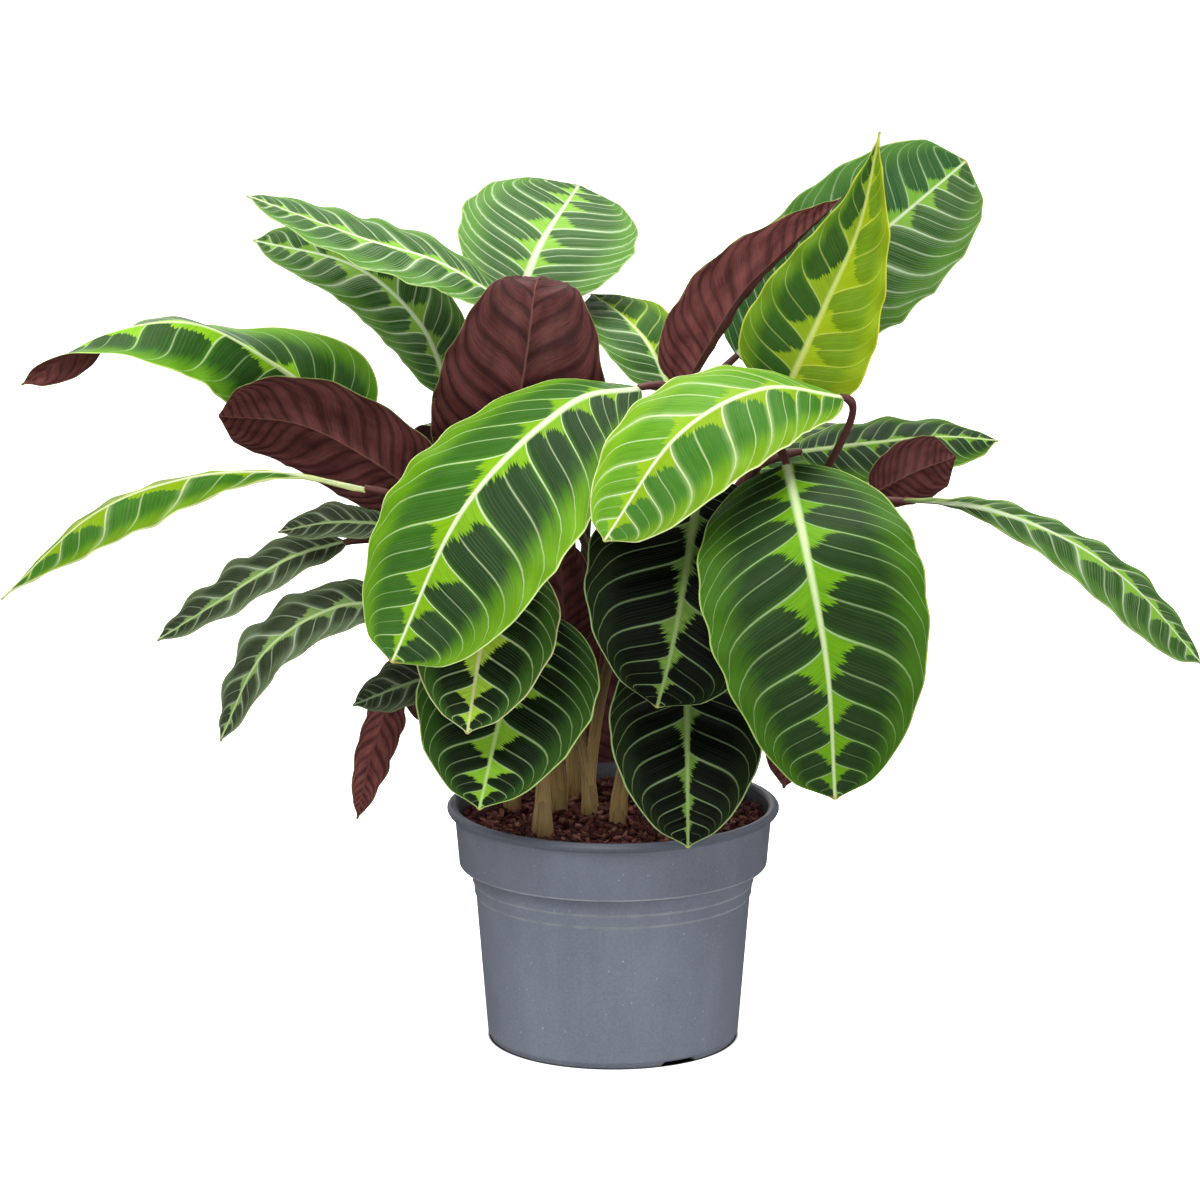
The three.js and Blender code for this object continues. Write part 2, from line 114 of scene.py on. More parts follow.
# where each clump stands, and the radius of its sheath
SHOOTS = {
    "shoot_1": (-44, -46, 7),
    "shoot_2": (-34, 12, 5.6),
    "shoot_3": (-15, 4, 5.4),
    "shoot_4": (3, -17, 5.4),
    "shoot_5": (46, -26, 6),
    "shoot_6": (44, 22, 6.6),
    "shoot_7": (-24, 54, 6),
    "shoot_8": (18, 52, 6.2),
    "shoot_9": (-64, 20, 6),
}


def leaf(shoot, width, face, fold, rib, look, cells, twist=(0, 0), outline=BLADE.outline,
         reach=STALK.reach, teeth=0.9, left_teeth=None, relief=1.2, wavy=1, lime=1.0, tone=1.0,
         glow=1.0, ridges=0.25, right=None):
    """One blade: its clump's number, width, facing, fold and midrib, its look and its veins.

    twist, outline, reach and wavy are as in the part's source. teeth is how far the margin juts
    at each vein, in mm, or is drawn in, if negative; left_teeth is for a left half that differs.
    relief is how far the blade bulges between its veins, in mm. lime is how far its light
    feathers reach, tone how bright its upper side is, and right the look of a right half that
    differs. glow is how bright its underside is, and ridges how deep the painted shade between its
    veins.
    """
    if left_teeth is None:
        left_teeth = teeth
    return SimpleNamespace(**locals())


LEAVES = {
    # the left, from the top down
    "leaf_01": leaf(7, 90, (0, -0.45, 0.9), -26, [
        (-165, 72, 380), (-212, 46, 424), (-262, 17, 456), (-316, -8, 453), (-366, -25, 425)
    ], "fresh", 8, twist=(-135, 130), outline=(0.3, 0.75), lime=0.65, tone=1.3, glow=1.5),
    "leaf_02": leaf(2, 72, (0.1, 0.9, 0.3), 6, [
        (-108, -22, 347), (-152, -18, 378), (-195, -16, 399), (-245, -16, 404)
    ], "green", 9, outline=(0.3, 0.4), relief=1.6, ridges=0.3, glow=0.85),
    "leaf_03": leaf(3, 110, (0.1, 0.97, -0.1), 6, [
        (-70, 8, 334), (-61, -8, 393), (-53, -14, 446), (-48, 2, 483), (-42, 42, 481)
    ], "green", 9, outline=(0.5, 0.95), relief=3.6, ridges=0.4, glow=0.83),
    "leaf_04": leaf(7, 78, (0.1, -0.3, 0.95), 0, [
        (-62, 50, 460), (-108, 40, 490), (-157, 28, 508), (-228, 20, 536)
    ], "silver", 9, wavy=1.5, relief=1.8, lime=0.6, tone=1.25),
    "leaf_05": leaf(7, 64, (0.4, -0.8, 0.5), 10, [
        (-104, 70, 402), (-123, 74, 446), (-164, 78, 482), (-228, 82, 498)
    ], "silver", 9, relief=1.6, lime=0.9, tone=1.1),
    "leaf_06": leaf(8, 114, (0.15, -0.45, 0.88), 4, [
        (-60, 78, 460), (-46, 118, 490), (-22, 195, 516)
    ], "silver", 8, outline=(0.45, 0.45), relief=1.8, lime=0.8, tone=1.2),
    "leaf_07": leaf(8, 64, (0.3, -0.6, 0.75), 4, [
        (36, 80, 402), (23, 92, 428), (6, 112, 444), (-14, 138, 454)
    ], "silver", 6, lime=0.5, right="young", tone=1.2),
    # the right, from the top down
    "leaf_08": leaf(8, 106, (-0.1, -0.9, 0.4), 4, [
        (79, 92, 422), (121, 100, 458), (177, 112, 503), (226, 128, 542)
    ], "plain", 10, outline=(0.42, 0.4), left_teeth=0.5, teeth=2.6, lime=0.6, right="silver"),
    "leaf_09": leaf(6, 86, (-0.2, -0.95, 0.2), 12, [
        (107, -8, 417), (131, 0, 469), (153, 8, 520), (165, 15, 577)
    ], "young", 7, outline=(0.3, 1.3), wavy=1.6, teeth=1.6, relief=1.6, tone=0.93, right="yellow"),
    "leaf_10": leaf(5, 97, (-0.25, -0.65, 0.75), -10, [
        (140, -60, 424), (90, -92, 435), (38, -130, 413), (-6, -165, 356)
    ], "lime", 8, reach=0.16, outline=(0.6, 0.58), relief=1.6, lime=0.8, right="pale"),
    "leaf_11": leaf(6, 62, (-0.4, 0.8, 0.4), 38, [
        (42, 30, 413), (76, 35, 468), (101, 38, 494), (143, 45, 531)
    ], "green", 9, outline=(0.35, 0.9), relief=2.8, ridges=0.28, glow=1.4),
    # the front
    "leaf_12": leaf(5, 136, (0, -0.9, 0.4), -5, [
        (105, -100, 390), (115, -165, 350), (127, -195, 285), (132, -205, 207)
    ], "deep", 9, outline=(0.42, 0.55), lime=0.85),
    "leaf_13": leaf(4, 122, (0, -0.85, 0.5), 4, [
        (53, -75, 378), (45, -120, 335), (35, -145, 285), (26, -150, 250)
    ], "shade", 7, outline=(0.45, 0.55), lime=0.42),
    "leaf_14": leaf(4, 96, (0, -0.7, 0.7), 5, [
        (45, -60, 270), (45, -115, 220), (45, -160, 165)
    ], "shade", 7, lime=0.38),
    # painted light: its tone lifts this blade, deep among the others, to a brightness that the
    # lamps don't give it
    "leaf_15": leaf(1, 90, (0, -0.8, 0.6), 6, [
        (-67, -62, 325), (-80, -108, 282), (-89, -135, 230)
    ], "dusk", 6, tone=2.6),
    "leaf_16": leaf(3, 142, (-0.35, -0.65, 0.72), -12, [
        (16, -45, 427), (-28, -72, 421), (-90, -122, 368), (-134, -150, 278)
    ], "bright", 9, outline=(0.62, 0.48), lime=0.72, tone=1.05, right="meadow"),
    "leaf_17": leaf(1, 114, (-0.2, -0.8, 0.6), 4, [
        (-42, -50, 286), (-65, -87, 244), (-82, -130, 181)
    ], "dusk", 7, lime=1.0, tone=1.35),
    "leaf_18": leaf(2, 46, (0, -0.42, 0.9), -32, [
        (-153, -45, 364), (-208, -55, 376), (-263, -70, 375), (-318, -88, 356), (-374, -100, 306)
    ], "lime", 8, outline=(2.6, 1.6), wavy=1.5, teeth=1.2, tone=1.0, right="yellow"),
    "leaf_19": leaf(9, 32, (0, -0.5, 0.85), 8, [
        (-138, -46, 341), (-174, -50, 343), (-207, -54, 338)
    ], "steel", 6, relief=1.0, teeth=-1.0, lime=0.5, wavy=1.6),
    "leaf_20": leaf(9, 40, (-0.2, -0.5, 0.85), 8, [
        (-167, -28, 326), (-203, -40, 317), (-252, -55, 289), (-282, -62, 271)
    ], "steel", 7, relief=1.6, teeth=-2.2, lime=0.7, wavy=2.2, tone=1.65),
    "leaf_21": leaf(9, 47, (-0.4, -0.6, 0.7), 6, [
        (-129, -55, 293), (-173, -65, 292), (-215, -80, 267), (-242, -90, 214)
    ], "steel", 8, outline=(0.4, 0.68), relief=1.8, teeth=-2.4, lime=0.8, wavy=2.2, tone=1.5),
    "leaf_22": leaf(9, 38, (0, -0.6, 0.8), 6, [
        (-99, -35, 246), (-130, -42, 238), (-162, -50, 227)
    ], "steel", 6, relief=1.6, teeth=-2.0, lime=0.4, wavy=2.2),
    "leaf_23": leaf(9, 27, (0.3, 0.9, 0.1), 18, [
        (-138, 8, 237), (-146, 4, 201), (-154, 2, 176), (-162, 0, 141)
    ], "steel", 8, relief=1.6, teeth=-1.4, wavy=1.8, ridges=0.35, glow=2.0),
    # the far right
    "leaf_24": leaf(6, 62, (0, -0.5, 0.85), -12, [
        (117, 10, 376), (161, 22, 379), (206, 32, 381), (243, 40, 377)
    ], "green", 8, wavy=1.8, lime=0.55),
    "leaf_25": leaf(6, 42, (0, 0.9, 0.1), 8, [
        (161, -8, 353), (186, -2, 365), (214, 5, 374)
    ], "green", 6, outline=(0.4, 0.35), relief=1.4),
    "leaf_26": leaf(5, 46, (0.2, -0.5, 0.85), -16, [
        (180, -36, 354), (225, -45, 352), (276, -65, 337), (319, -78, 309), (361, -90, 263)
    ], "silver", 10, twist=(150, 0), outline=(1.6, 0.7), wavy=1.8, relief=1.4, teeth=-1.4,
        tone=0.92),
    "leaf_27": leaf(5, 48, (0, 0.95, 0.1), 10, [
        (114, -100, 282), (111, -134, 240), (103, -147, 199)
    ], "green", 7),
    "leaf_28": leaf(3, 44, (0, 0.9, 0.3), 8, [
        (-29, 24, 245), (-32, 28, 283), (-34, 34, 318)
    ], "green", 6),
    # the back, out of the photograph's sight
    "leaf_29": leaf(8, 110, (0, 0.7, 0.7), 5, [
        (20, 90, 375), (25, 160, 380), (30, 225, 335), (35, 255, 265)
    ], "deep", 9),
    "leaf_30": leaf(6, 96, (0.4, 0.6, 0.7), 6, [
        (78, 82, 312), (118, 130, 316), (150, 182, 284), (165, 212, 230)
    ], "fresh", 8),
    "leaf_31": leaf(7, 104, (-0.4, 0.6, 0.7), 5, [
        (-50, 90, 370), (-82, 145, 372), (-110, 200, 330), (-120, 225, 265)
    ], "deep", 9),
    "leaf_32": leaf(8, 104, (0.1, 0.8, 0.6), 6, [
        (0, 80, 285), (-4, 120, 264), (-8, 148, 212), (-12, 158, 128)
    ], "dusk", 8, outline=(0.5, 0.4)),
    "leaf_33": leaf(7, 92, (-0.4, 0.7, 0.6), 6, [
        (-57, 76, 262), (-86, 107, 254), (-108, 126, 215), (-116, 136, 165)
    ], "deep", 8),
    "leaf_34": leaf(6, 92, (0.5, 0.6, 0.6), 6, [
        (85, 50, 262), (108, 84, 254), (120, 110, 215), (122, 122, 165)
    ], "deep", 8),
    "leaf_35": leaf(6, 84, (0.3, 0.4, 0.85), 5, [
        (92, 84, 348), (120, 126, 368), (143, 174, 360), (156, 208, 328)
    ], "fresh", 8),
}

# ---- Colours, as they look under white light, but for the painted light and shade marked below ----

LOOK_COLOURS = ("dark", "mid", "lime", "vein", "rib", "rim")
LOOK_AMOUNTS = ("edge", "bloom", "comb", "vein_width")


def look(dark, mid, lime, vein, rib, rim, slot="leaf", edge=0.3, bloom=0.0, comb=0.05,
         gloss=0.1, vein_width=1.0):
    """The colours of a blade's upper side, and the record's slot for its material.

    dark: the patches between the veins; mid: the rest of the blade; lime: the feathers beside
    the midrib; vein, rib and rim: the side veins, the midrib and the margin. edge is how far the
    blade lightens towards its margin, comb how strong its fine stripes are, gloss how much it
    shines, and vein_width how wide its veins are beside the usual. The remaining amount is how
    pale it is beside its main veins: a painted sheen, with some pale flank colour as well.
    """
    return locals()


LOOKS = {
    "deep": look(0x1f3a12, 0x376410, 0x72ae0e, 0xa6c684, 0xd8eab0, 0xb0cc6c, edge=0.1),
    "green": look(0x1c3514, 0x345e14, 0x76ae1a, 0xa4c088, 0xcee0a4, 0xb0c870),
    "fresh": look(0x264b17, 0x447816, 0x86bd1e, 0xb0cc8c, 0xd6e6ae, 0xb6d06c),
    "silver": look(
        0x30581e, 0x487a22, 0x8cbf44, 0xcfe0b8, 0xdfecc4, 0xa4c070, edge=0.1, bloom=0.25, comb=0.2),
    "plain": look(
        0x2c5a28, 0x3c7226, 0x86c040, 0xb4ce9c, 0xd8e8b8, 0x98bc60, edge=0.15, bloom=0.15,
        comb=0.15),
    "bright": look(
        0x213f18, 0x4c8410, 0x86ba14, 0xd4e8ae, 0xeaf6cc, 0xdaee98, "leaf_bright", edge=0.55),
    "meadow": look(
        0x36661c, 0x4c8414, 0x86ba14, 0xd0e6a8, 0xeaf6cc, 0xdaee98, "leaf_bright", edge=0.45),
    "lime": look(
        0x3c7618, 0x5c9412, 0x94b80c, 0xe4f0b8, 0xf0f8cc, 0xe8f4a8, "leaf_bright", edge=0.5,
        bloom=0.25),
    "pale": look(
        0x609a1c, 0x74aa1c, 0x94be1c, 0xecf6c8, 0xf2fad4, 0xe8f4a8, "leaf_bright", bloom=0.25),
    "yellow": look(0x6f9414, 0x8aa812, 0xa8c018, 0xc4d254, 0xd4de70, 0xdce048, "leaf_bright"),
    "young": look(0x305a18, 0x4e8018, 0xa0be1e, 0xbcd068, 0xd6e48a, 0xd0dc54, "leaf_bright"),
    # painted shade: the dusk and shade looks are the deep green of the lower blades, darkened
    # further for the shade they stand in under the blades above
    "dusk": look(
        0x0b1808, 0x1f3f10, 0x86ba30, 0x96b07a, 0xacc87c, 0xb0cc78, "leaf_dark", edge=0.05,
        gloss=0.05),
    "shade": look(
        0x030603, 0x0c1808, 0x749a40, 0x809a68, 0x90a868, 0xa2bc7a, "leaf_dark", edge=0.03,
        gloss=0.04),
    "steel": look(
        0x28311f, 0x46523a, 0x6c8a48, 0x93a286, 0x9cb07c, 0x6e7c54, "leaf_dark", edge=0.1,
        bloom=0.35, vein_width=0.75),
}
# the groove colour is painted shade, laid in the underside's vein grooves
UNDERSIDE = {"groove": 0x240d0f, "dark": 0x42201f, "light": 0x784541, "rib": 0x84554e,
             "rim": 0x9ca05c, "down": 0xd08a90}
DRY_TIP = 0xc4ae55
# edge is also the pale of the painted highlights on the pot's ledge and lines; inside is painted
# shade, laid over the pot's inside, collar and lip
POT_COLOUR = {"dark": 0x828998, "light": 0x969dac, "edge": 0xdcdfe4, "inside": 0x383c42}
BARK = [0x241010, 0x472322, 0x673934, 0x824f46, 0xa0735c]
# up a stalk, each from this share of its height
STALK_COLOUR = [(0.0, 0xbc9c5c), (0.16, 0x8a7444), (0.36, 0x585430), (0.78, 0x683a38),
                (0.95, 0x683a38)]
STALK_STREAK = 0x5a3626
WHITE = (1.0, 1.0, 1.0, 1.0)

# ---- Fineness of the meshes ----

ROW = 2.0  # mm along a blade
BLADE_COLUMNS = 17  # on each side of the midrib
COLUMN_CROWDING = 1.35  # above 1, the columns crowd towards the midrib
STALK_SIDES = 14
STALK_ROWS = 44
POT_SIDES = 192
ARC_STEPS = 4  # in each rounded corner of the pot's section
DRILL_SIDES = 24
SOIL_SIDES = 120
SOIL_RINGS = 40
CHUNKS = 1900
SEED = 7
SEED_STEP = 3.7  # between the patterns of two blades


# ---- Vectors and curves ----

def unit(v):
    return v / np.linalg.norm(v, axis=-1, keepdims=True)


def lerp(a, b, t):
    return a + (b - a) * t


def smooth(low, high, x):
    """0 below low, 1 above high, and an even S between them."""
    t = np.clip((x - low) / (high - low), 0, 1)
    return t * t * (3 - 2 * t)


class Spline:
    """A smooth curve through points, read by its share of the length."""

    FINENESS = 160  # samples between two points

    def __init__(self, points):
        p = np.array(points, float)
        self.points = np.vstack([2 * p[0] - p[1], p, 2 * p[-1] - p[-2]])
        self.knots = np.linspace(0, len(p) - 1, self.FINENESS * (len(p) - 1) + 1)
        steps = np.linalg.norm(np.diff(self.at(self.knots)[0], axis=0), axis=1)
        self.along = np.concatenate([[0], np.cumsum(steps)])
        self.length = self.along[-1]

    def at(self, x):
        """Places and slopes at x, which counts the points."""
        first = np.minimum(x.astype(int), len(self.points) - 4)
        f = (x - first)[:, None]
        a, b, c, d = (self.points[first + k] for k in range(4))
        m, n = (c - a) / 2, (d - b) / 2
        square, cube = 3 * (c - b) - 2 * m - n, 2 * (b - c) + m + n
        return b + f * (m + f * (square + f * cube)), m + f * (2 * square + 3 * f * cube)

    def shares(self, t):
        """Places and directions at these shares of the length."""
        place, slope = self.at(np.interp(t * self.length, self.along, self.knots))
        return place, unit(slope)


def carried(directions, normal, start):
    """A normal at row start, carried both ways along a curve without spinning."""
    def across(v, d):
        return unit(v - d * np.dot(v, d))

    rows = np.zeros_like(directions)
    rows[start] = across(np.array(normal, float), directions[start])
    for i in range(start + 1, len(rows)):
        rows[i] = across(rows[i - 1], directions[i])
    for i in range(start - 1, -1, -1):
        rows[i] = across(rows[i + 1], directions[i])
    return rows


# ---- Meshes ----

def linked(name, data):
    """A new object in the scene."""
    piece = bpy.data.objects.new(name, data)
    bpy.context.scene.collection.objects.link(piece)
    return piece


def make_piece(name, points, faces, materials, maps, slots=None, sharp=math.radians(50)):
    """A mesh object from points in mm. maps holds a UV pair for each face corner, by map name."""
    mesh = bpy.data.meshes.new(name)
    mesh.from_pydata((np.asarray(points) * MM).tolist(), [], faces)
    for map_name, values in maps.items():
        layer = mesh.uv_layers.new(name=map_name)
        layer.data.foreach_set("uv", np.asarray(values, np.float32).ravel())
    for material in materials:
        mesh.materials.append(material)
    if slots is not None:
        mesh.polygons.foreach_set("material_index", slots)
    mesh.shade_smooth()
    mesh.set_sharp_from_angle(angle=sharp)
    mesh.update()
    return linked(name, mesh)


def add_to_plant(piece, slot, node):
    """The piece rides on the plant's one body and stands for this node of the frame."""
    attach(piece, "root")
    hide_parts(node)


def ring_faces(rows, columns, closed=True):
    """Quads between rows of points; closed joins each row's last point to its first."""
    i, j = np.meshgrid(np.arange(rows - 1), np.arange(columns if closed else columns - 1),
                       indexing="ij")
    a = i * columns + j
    b = i * columns + (j + 1) % columns
    return np.stack([a, b, b + columns, a + columns], -1).reshape(-1, 4)


def closed(rings, start=None, end=None):
    """Points and faces of rings whose ends are each closed by one face, or a fan to a point."""
    rows, sides = rings.shape[:2]
    points = rings.reshape(-1, 3)
    faces = ring_faces(rows, sides).tolist()
    for point, first, step in ((start, 0, -1), (end, (rows - 1) * sides, 1)):
        ring = [first + j for j in range(sides)][::step]
        if point is None:
            faces.append(ring)
        else:
            faces += [[len(points), j, k] for j, k in zip(ring, ring[1:] + ring[:1])]
            points = np.vstack([points, point])
    return points, faces


def joined(parts):
    """Several (points, faces, uvs) in one."""
    points, faces, uvs, count = [], [], [], 0
    for p, f, uv in parts:
        faces += [[i + count for i in face] for face in f]
        points.append(p)
        uvs.append(uv)
        count += len(p)
    return np.vstack(points), faces, np.vstack(uvs)


# ---- Material nodes ----

def rgb(colour):
    """A colour written as 0xRRGGBB, for a shader's socket."""
    parts = [(colour >> shift & 255) / 255 for shift in (16, 8, 0)]
    return [*(c / 12.92 if c <= 0.04045 else ((c + 0.055) / 1.055) ** 2.4 for c in parts), 1.0]


class Value:
    """A node's output, for sums and products with numbers and other outputs."""

    def __init__(self, graph, socket):
        self.graph = graph
        self.socket = socket

    def __add__(self, other):
        return self.graph.math("ADD", self, other)

    def __sub__(self, other):
        return self.graph.math("SUBTRACT", self, other)

    def __rsub__(self, other):
        return self.graph.math("SUBTRACT", other, self)

    def __mul__(self, other):
        return self.graph.math("MULTIPLY", self, other)

class Graph:
    """Makes nodes in a tree. What a method is given is a number, a colour or a node's output."""

    def __init__(self, tree):
        self.tree = tree

    def feed(self, socket, value):
        if isinstance(value, Value):
            self.tree.links.new(value.socket, socket)
        elif value is not None:
            socket.default_value = value

    def node(self, kind, *values, named=None, output=0, **settings):
        """A new node's output. values go to its first inputs, and named to the inputs it names."""
        made = self.tree.nodes.new("ShaderNode" + kind)
        for key, value in settings.items():
            setattr(made, key, value)
        for key, value in [*enumerate(values), *(named or {}).items()]:
            self.feed(made.inputs[key], value)
        return Value(self, made.outputs[output])

    def math(self, operation, *values):
        return self.node("Math", *values, operation=operation)

    def size(self, value):
        return self.math("ABSOLUTE", value)

    def rise(self, value, low, high, start=0.0, end=1.0):
        """start where value is below low, end above high, and a smooth change between."""
        ends = {"Value": value, "From Min": low, "From Max": high, "To Min": start, "To Max": end}
        return self.node("MapRange", named=ends, interpolation_type="SMOOTHSTEP")

    def mix(self, share, a, b, blend="MIX"):
        return self.node("Mix", named={"Factor": share, 6: a, 7: b}, output=2, data_type="RGBA",
                         blend_type=blend)

    def shaded(self, colour, shade):
        """The colour times a number."""
        return self.mix(1.0, colour, self.vector(shade, shade, shade), "MULTIPLY")

    def ramp(self, value, stops):
        """A colour ramp; stops are (place, colour) pairs, and a plain number is a grey."""
        made = self.node("ValToRGB", value)
        band = made.socket.node.color_ramp.elements
        for i, (place, colour) in enumerate(stops):
            stop = band[i] if i < 2 else band.new(place)
            stop.position = place
            stop.color = [colour] * 3 + [1.0] if isinstance(colour, float) else rgb(colour)
        return made

    def vector(self, x, y=0.0, z=0.0):
        return self.node("CombineXYZ", x, y, z)

    def split(self, vector):
        node = self.node("SeparateXYZ", vector).socket.node
        return [Value(self, output) for output in node.outputs]

    def map(self, name):
        """The two coordinates of a UV map."""
        return self.split(self.node("UVMap", uv_map=name))[:2]

    def place(self):
        """The point in the frame."""
        return self.node("TexCoord", output="Object")

    def noise(self, vector, scale, detail=2.0, roughness=0.5):
        return self.node("TexNoise", named={"Vector": vector, "Scale": scale, "Detail": detail,
                                            "Roughness": roughness})

    def chance(self, value):
        """A random number from 0 to 1 that stays the same for the same value."""
        return self.node("TexWhiteNoise", None, value, noise_dimensions="1D")

    def bump(self, height, strength, distance):
        return self.node("Bump", named={"Height": height, "Strength": strength,
                                        "Distance": distance})


def new_material(name, **constants):
    """A material with its graph and its shader, whose sockets take these constants."""
    material = bpy.data.materials.new(name)
    material.use_nodes = True
    shader = material.node_tree.nodes["Principled BSDF"]
    for key, value in constants.items():
        shader.inputs[key.replace("_", " ")].default_value = value
    return material, Graph(material.node_tree), shader


def finish_surface(g, shader, colour, roughness, normal):
    for key, value in {"Base Color": colour, "Roughness": roughness, "Normal": normal}.items():
        g.feed(shader.inputs[key], value)


# ---- The blade's pattern ----
# The map "veins" holds the vein number (whole at a main vein) and the share of the half width,
# negative left of the midrib. The map "span" holds the share of the length and the distance from
# the midrib in mm.

STRIPS = 17  # fine stripes between two main veins
CELL_SHARE = 0.8  # of a blade's length divided by its number of veins: the usual gap between two
RIB_WIDTHS = (0.6, 1.75)  # mm, of the narrowest midrib and of one in a blade WIDE mm wide
WIDE = 140
BUMPS = {"upper": 0.0009, "under": 0.002}  # in metres

# how far the lime reaches from the midrib, as a share of the half width, from one main vein (0)
# over the side vein between (0.5) to the next main vein (1)
FEATHER = [(0.0, 0.46), (0.06, 0.4), (0.14, 0.33), (0.25, 0.26), (0.4, 0.19), (0.48, 0.17),
           (0.51, 0.21), (0.6, 0.14), (0.7, 0.08), (0.78, 0.03), (0.84, 0.0), (0.985, 0.0),
           (1.0, 0.46)]


class BladePattern(Graph):
    """A node group that paints one side of a blade, with what it reads from the blade's maps."""

    def __init__(self, name, colours, numbers):
        super().__init__(bpy.data.node_groups.new(name, "ShaderNodeTree"))
        for label in (*colours, *numbers):
            self.socket(label, "INPUT", "Color" if label in colours else "Float")
        self.socket("Color", "OUTPUT", "Color")
        self.socket("Height", "OUTPUT", "Float")
        outputs = self.tree.nodes.new("NodeGroupInput").outputs
        self.given = {label: Value(self, outputs[label]) for label in (*colours, *numbers)}
        self.vein_number, signed = self.map("veins")
        self.along, self.from_rib = self.map("span")
        self.share = self.size(signed)
        outward = self.math("DIVIDE", 1.0, self.math("MAXIMUM", self.share, 0.02)) - 1.0
        self.from_rim = self.from_rib * outward
        self.part = self.math("FRACT", self.vein_number)
        self.rib_width = self.given["midrib"] * self.rise(self.along, 0.0, 1.0, 1.0, 0.35)
        self.colour = None

    def socket(self, label, direction, kind):
        self.tree.interface.new_socket(label, in_out=direction, socket_type="NodeSocket" + kind)

    def paint(self, share, colour):
        self.colour = self.mix(share, self.colour, colour)

    def finish(self, height):
        result = self.tree.nodes.new("NodeGroupOutput").inputs
        self.feed(result["Color"], self.colour)
        self.feed(result["Height"], height)
        return self.tree

    def near_vein(self, at, width):
        """1 on a vein at this part of each cell, 0 past half its width in mm."""
        away = self.size(self.part - at)
        if at == 0.0:
            away = self.math("MINIMUM", self.part, 1.0 - self.part)
        return self.rise(away * self.given["cell"], width * 0.08, width * 0.5, 1.0, 0.0)

    def speckle(self, over, out, detail=3.0, roughness=0.6):
        """Noise with so many specks over a cell and out to the margin."""
        place = self.vector(self.vein_number * over, self.share * out, self.given["seed"])
        return self.noise(place, 1.0, detail, roughness)


def upper_pattern():
    """The group that paints a blade's upper side."""
    g = BladePattern("calathea_upper", LOOK_COLOURS,
                     (*LOOK_AMOUNTS, "feather", "cell", "midrib", "seed"))
    given, seed, share, along = g.given, g.given["seed"], g.share, g.along
    vein, vein_width = given["vein"], given["vein_width"]

    # ragged dark patches that run along the veins, on a blade that lightens to its margin
    strips = g.vein_number * STRIPS
    strip = g.chance(g.math("FLOOR", strips) + seed)
    patch = g.chance(g.math("FLOOR", g.vein_number) + (seed + 0.5))
    grain = g.speckle(30.0, 3.0)
    cloud = g.speckle(0.8, 2.5, 2.0, 0.5)
    edge = strip * 0.12 + cloud * 0.3 + 0.5
    dark = g.rise(share, edge - 0.16, edge + 0.16, 1.0, 0.0)
    dark = dark * (1.0 - g.near_vein(0.0, 5.5) * 0.45)
    g.colour = g.mix(dark, given["mid"], given["dark"])
    g.paint(g.rise(share, 0.6, 1.0, 0.0, given["edge"]), given["lime"])
    g.colour = g.shaded(g.colour, g.rise(grain * 0.7 + cloud * 0.5, 0.35, 0.85, 0.84, 1.18))
    in_strip = g.math("FRACT", strips)
    away = g.math("MINIMUM", in_strip, 1.0 - in_strip)
    lines = g.rise(away, 0.05, 0.4, 1.0, 0.0) * strip
    g.paint(lines * given["comb"], vein)
    # painted sheen: pale vein colour beside each main vein stands in for the shine on the bulges
    # there, with some pale flank colour as well
    bloom = g.rise(g.size(g.math("SINE", g.vein_number * math.pi)), 0.0, 0.42, given["bloom"], 0.0)
    g.paint(bloom * g.rise(cloud, 0.3, 0.65, 0.3, 1.0), vein)

    # light feathers beside the midrib, longest along the tip side of each main vein
    reach = g.ramp(g.part, FEATHER) * (given["feather"] * (patch * 0.4 + 0.75))
    reach = reach + (strip - 0.5) * 0.06 + (away - 0.25) * 0.1
    feather = g.rise(share, reach - 0.015, reach + 0.01, 1.0, 0.0)
    lime = g.mix(g.rise(grain, 0.3, 0.7, 0.0, 0.3), given["lime"], given["mid"])
    g.paint(feather * 0.95, lime)

    # veins, which thin out towards the margin
    side = g.near_vein(0.5, vein_width) * g.rise(share, 0.03, 0.2, 0.0, 0.5)
    side = side * g.rise(along, 0.7, 0.95, 1.0, 0.4)
    g.paint(side, vein)
    main = g.near_vein(0.0, vein_width * 1.3) * g.rise(share, 0.1, 1.0, 0.88, 0.45)
    g.paint(main, vein)

    # the midrib with its pale flanks, the margin and the dry tip
    width = g.rib_width
    flank = g.mix(0.6, given["lime"], given["rib"])
    g.paint(g.rise(g.from_rib, width * 1.3, width * 2.3, 0.75, 0.0), flank)
    g.paint(g.rise(g.from_rib, width * 0.25, width * 1.75, 0.92, 0.0), given["rib"])
    g.paint(g.rise(g.from_rim, 0.5, 1.3, 0.95, 0.0), given["rim"])
    g.paint(g.rise(along, 0.985, 1.0, 0.0, 0.8), rgb(DRY_TIP))
    return g.finish(main * 0.8 + side * 0.5 + lines * 0.15 + grain * 0.35)


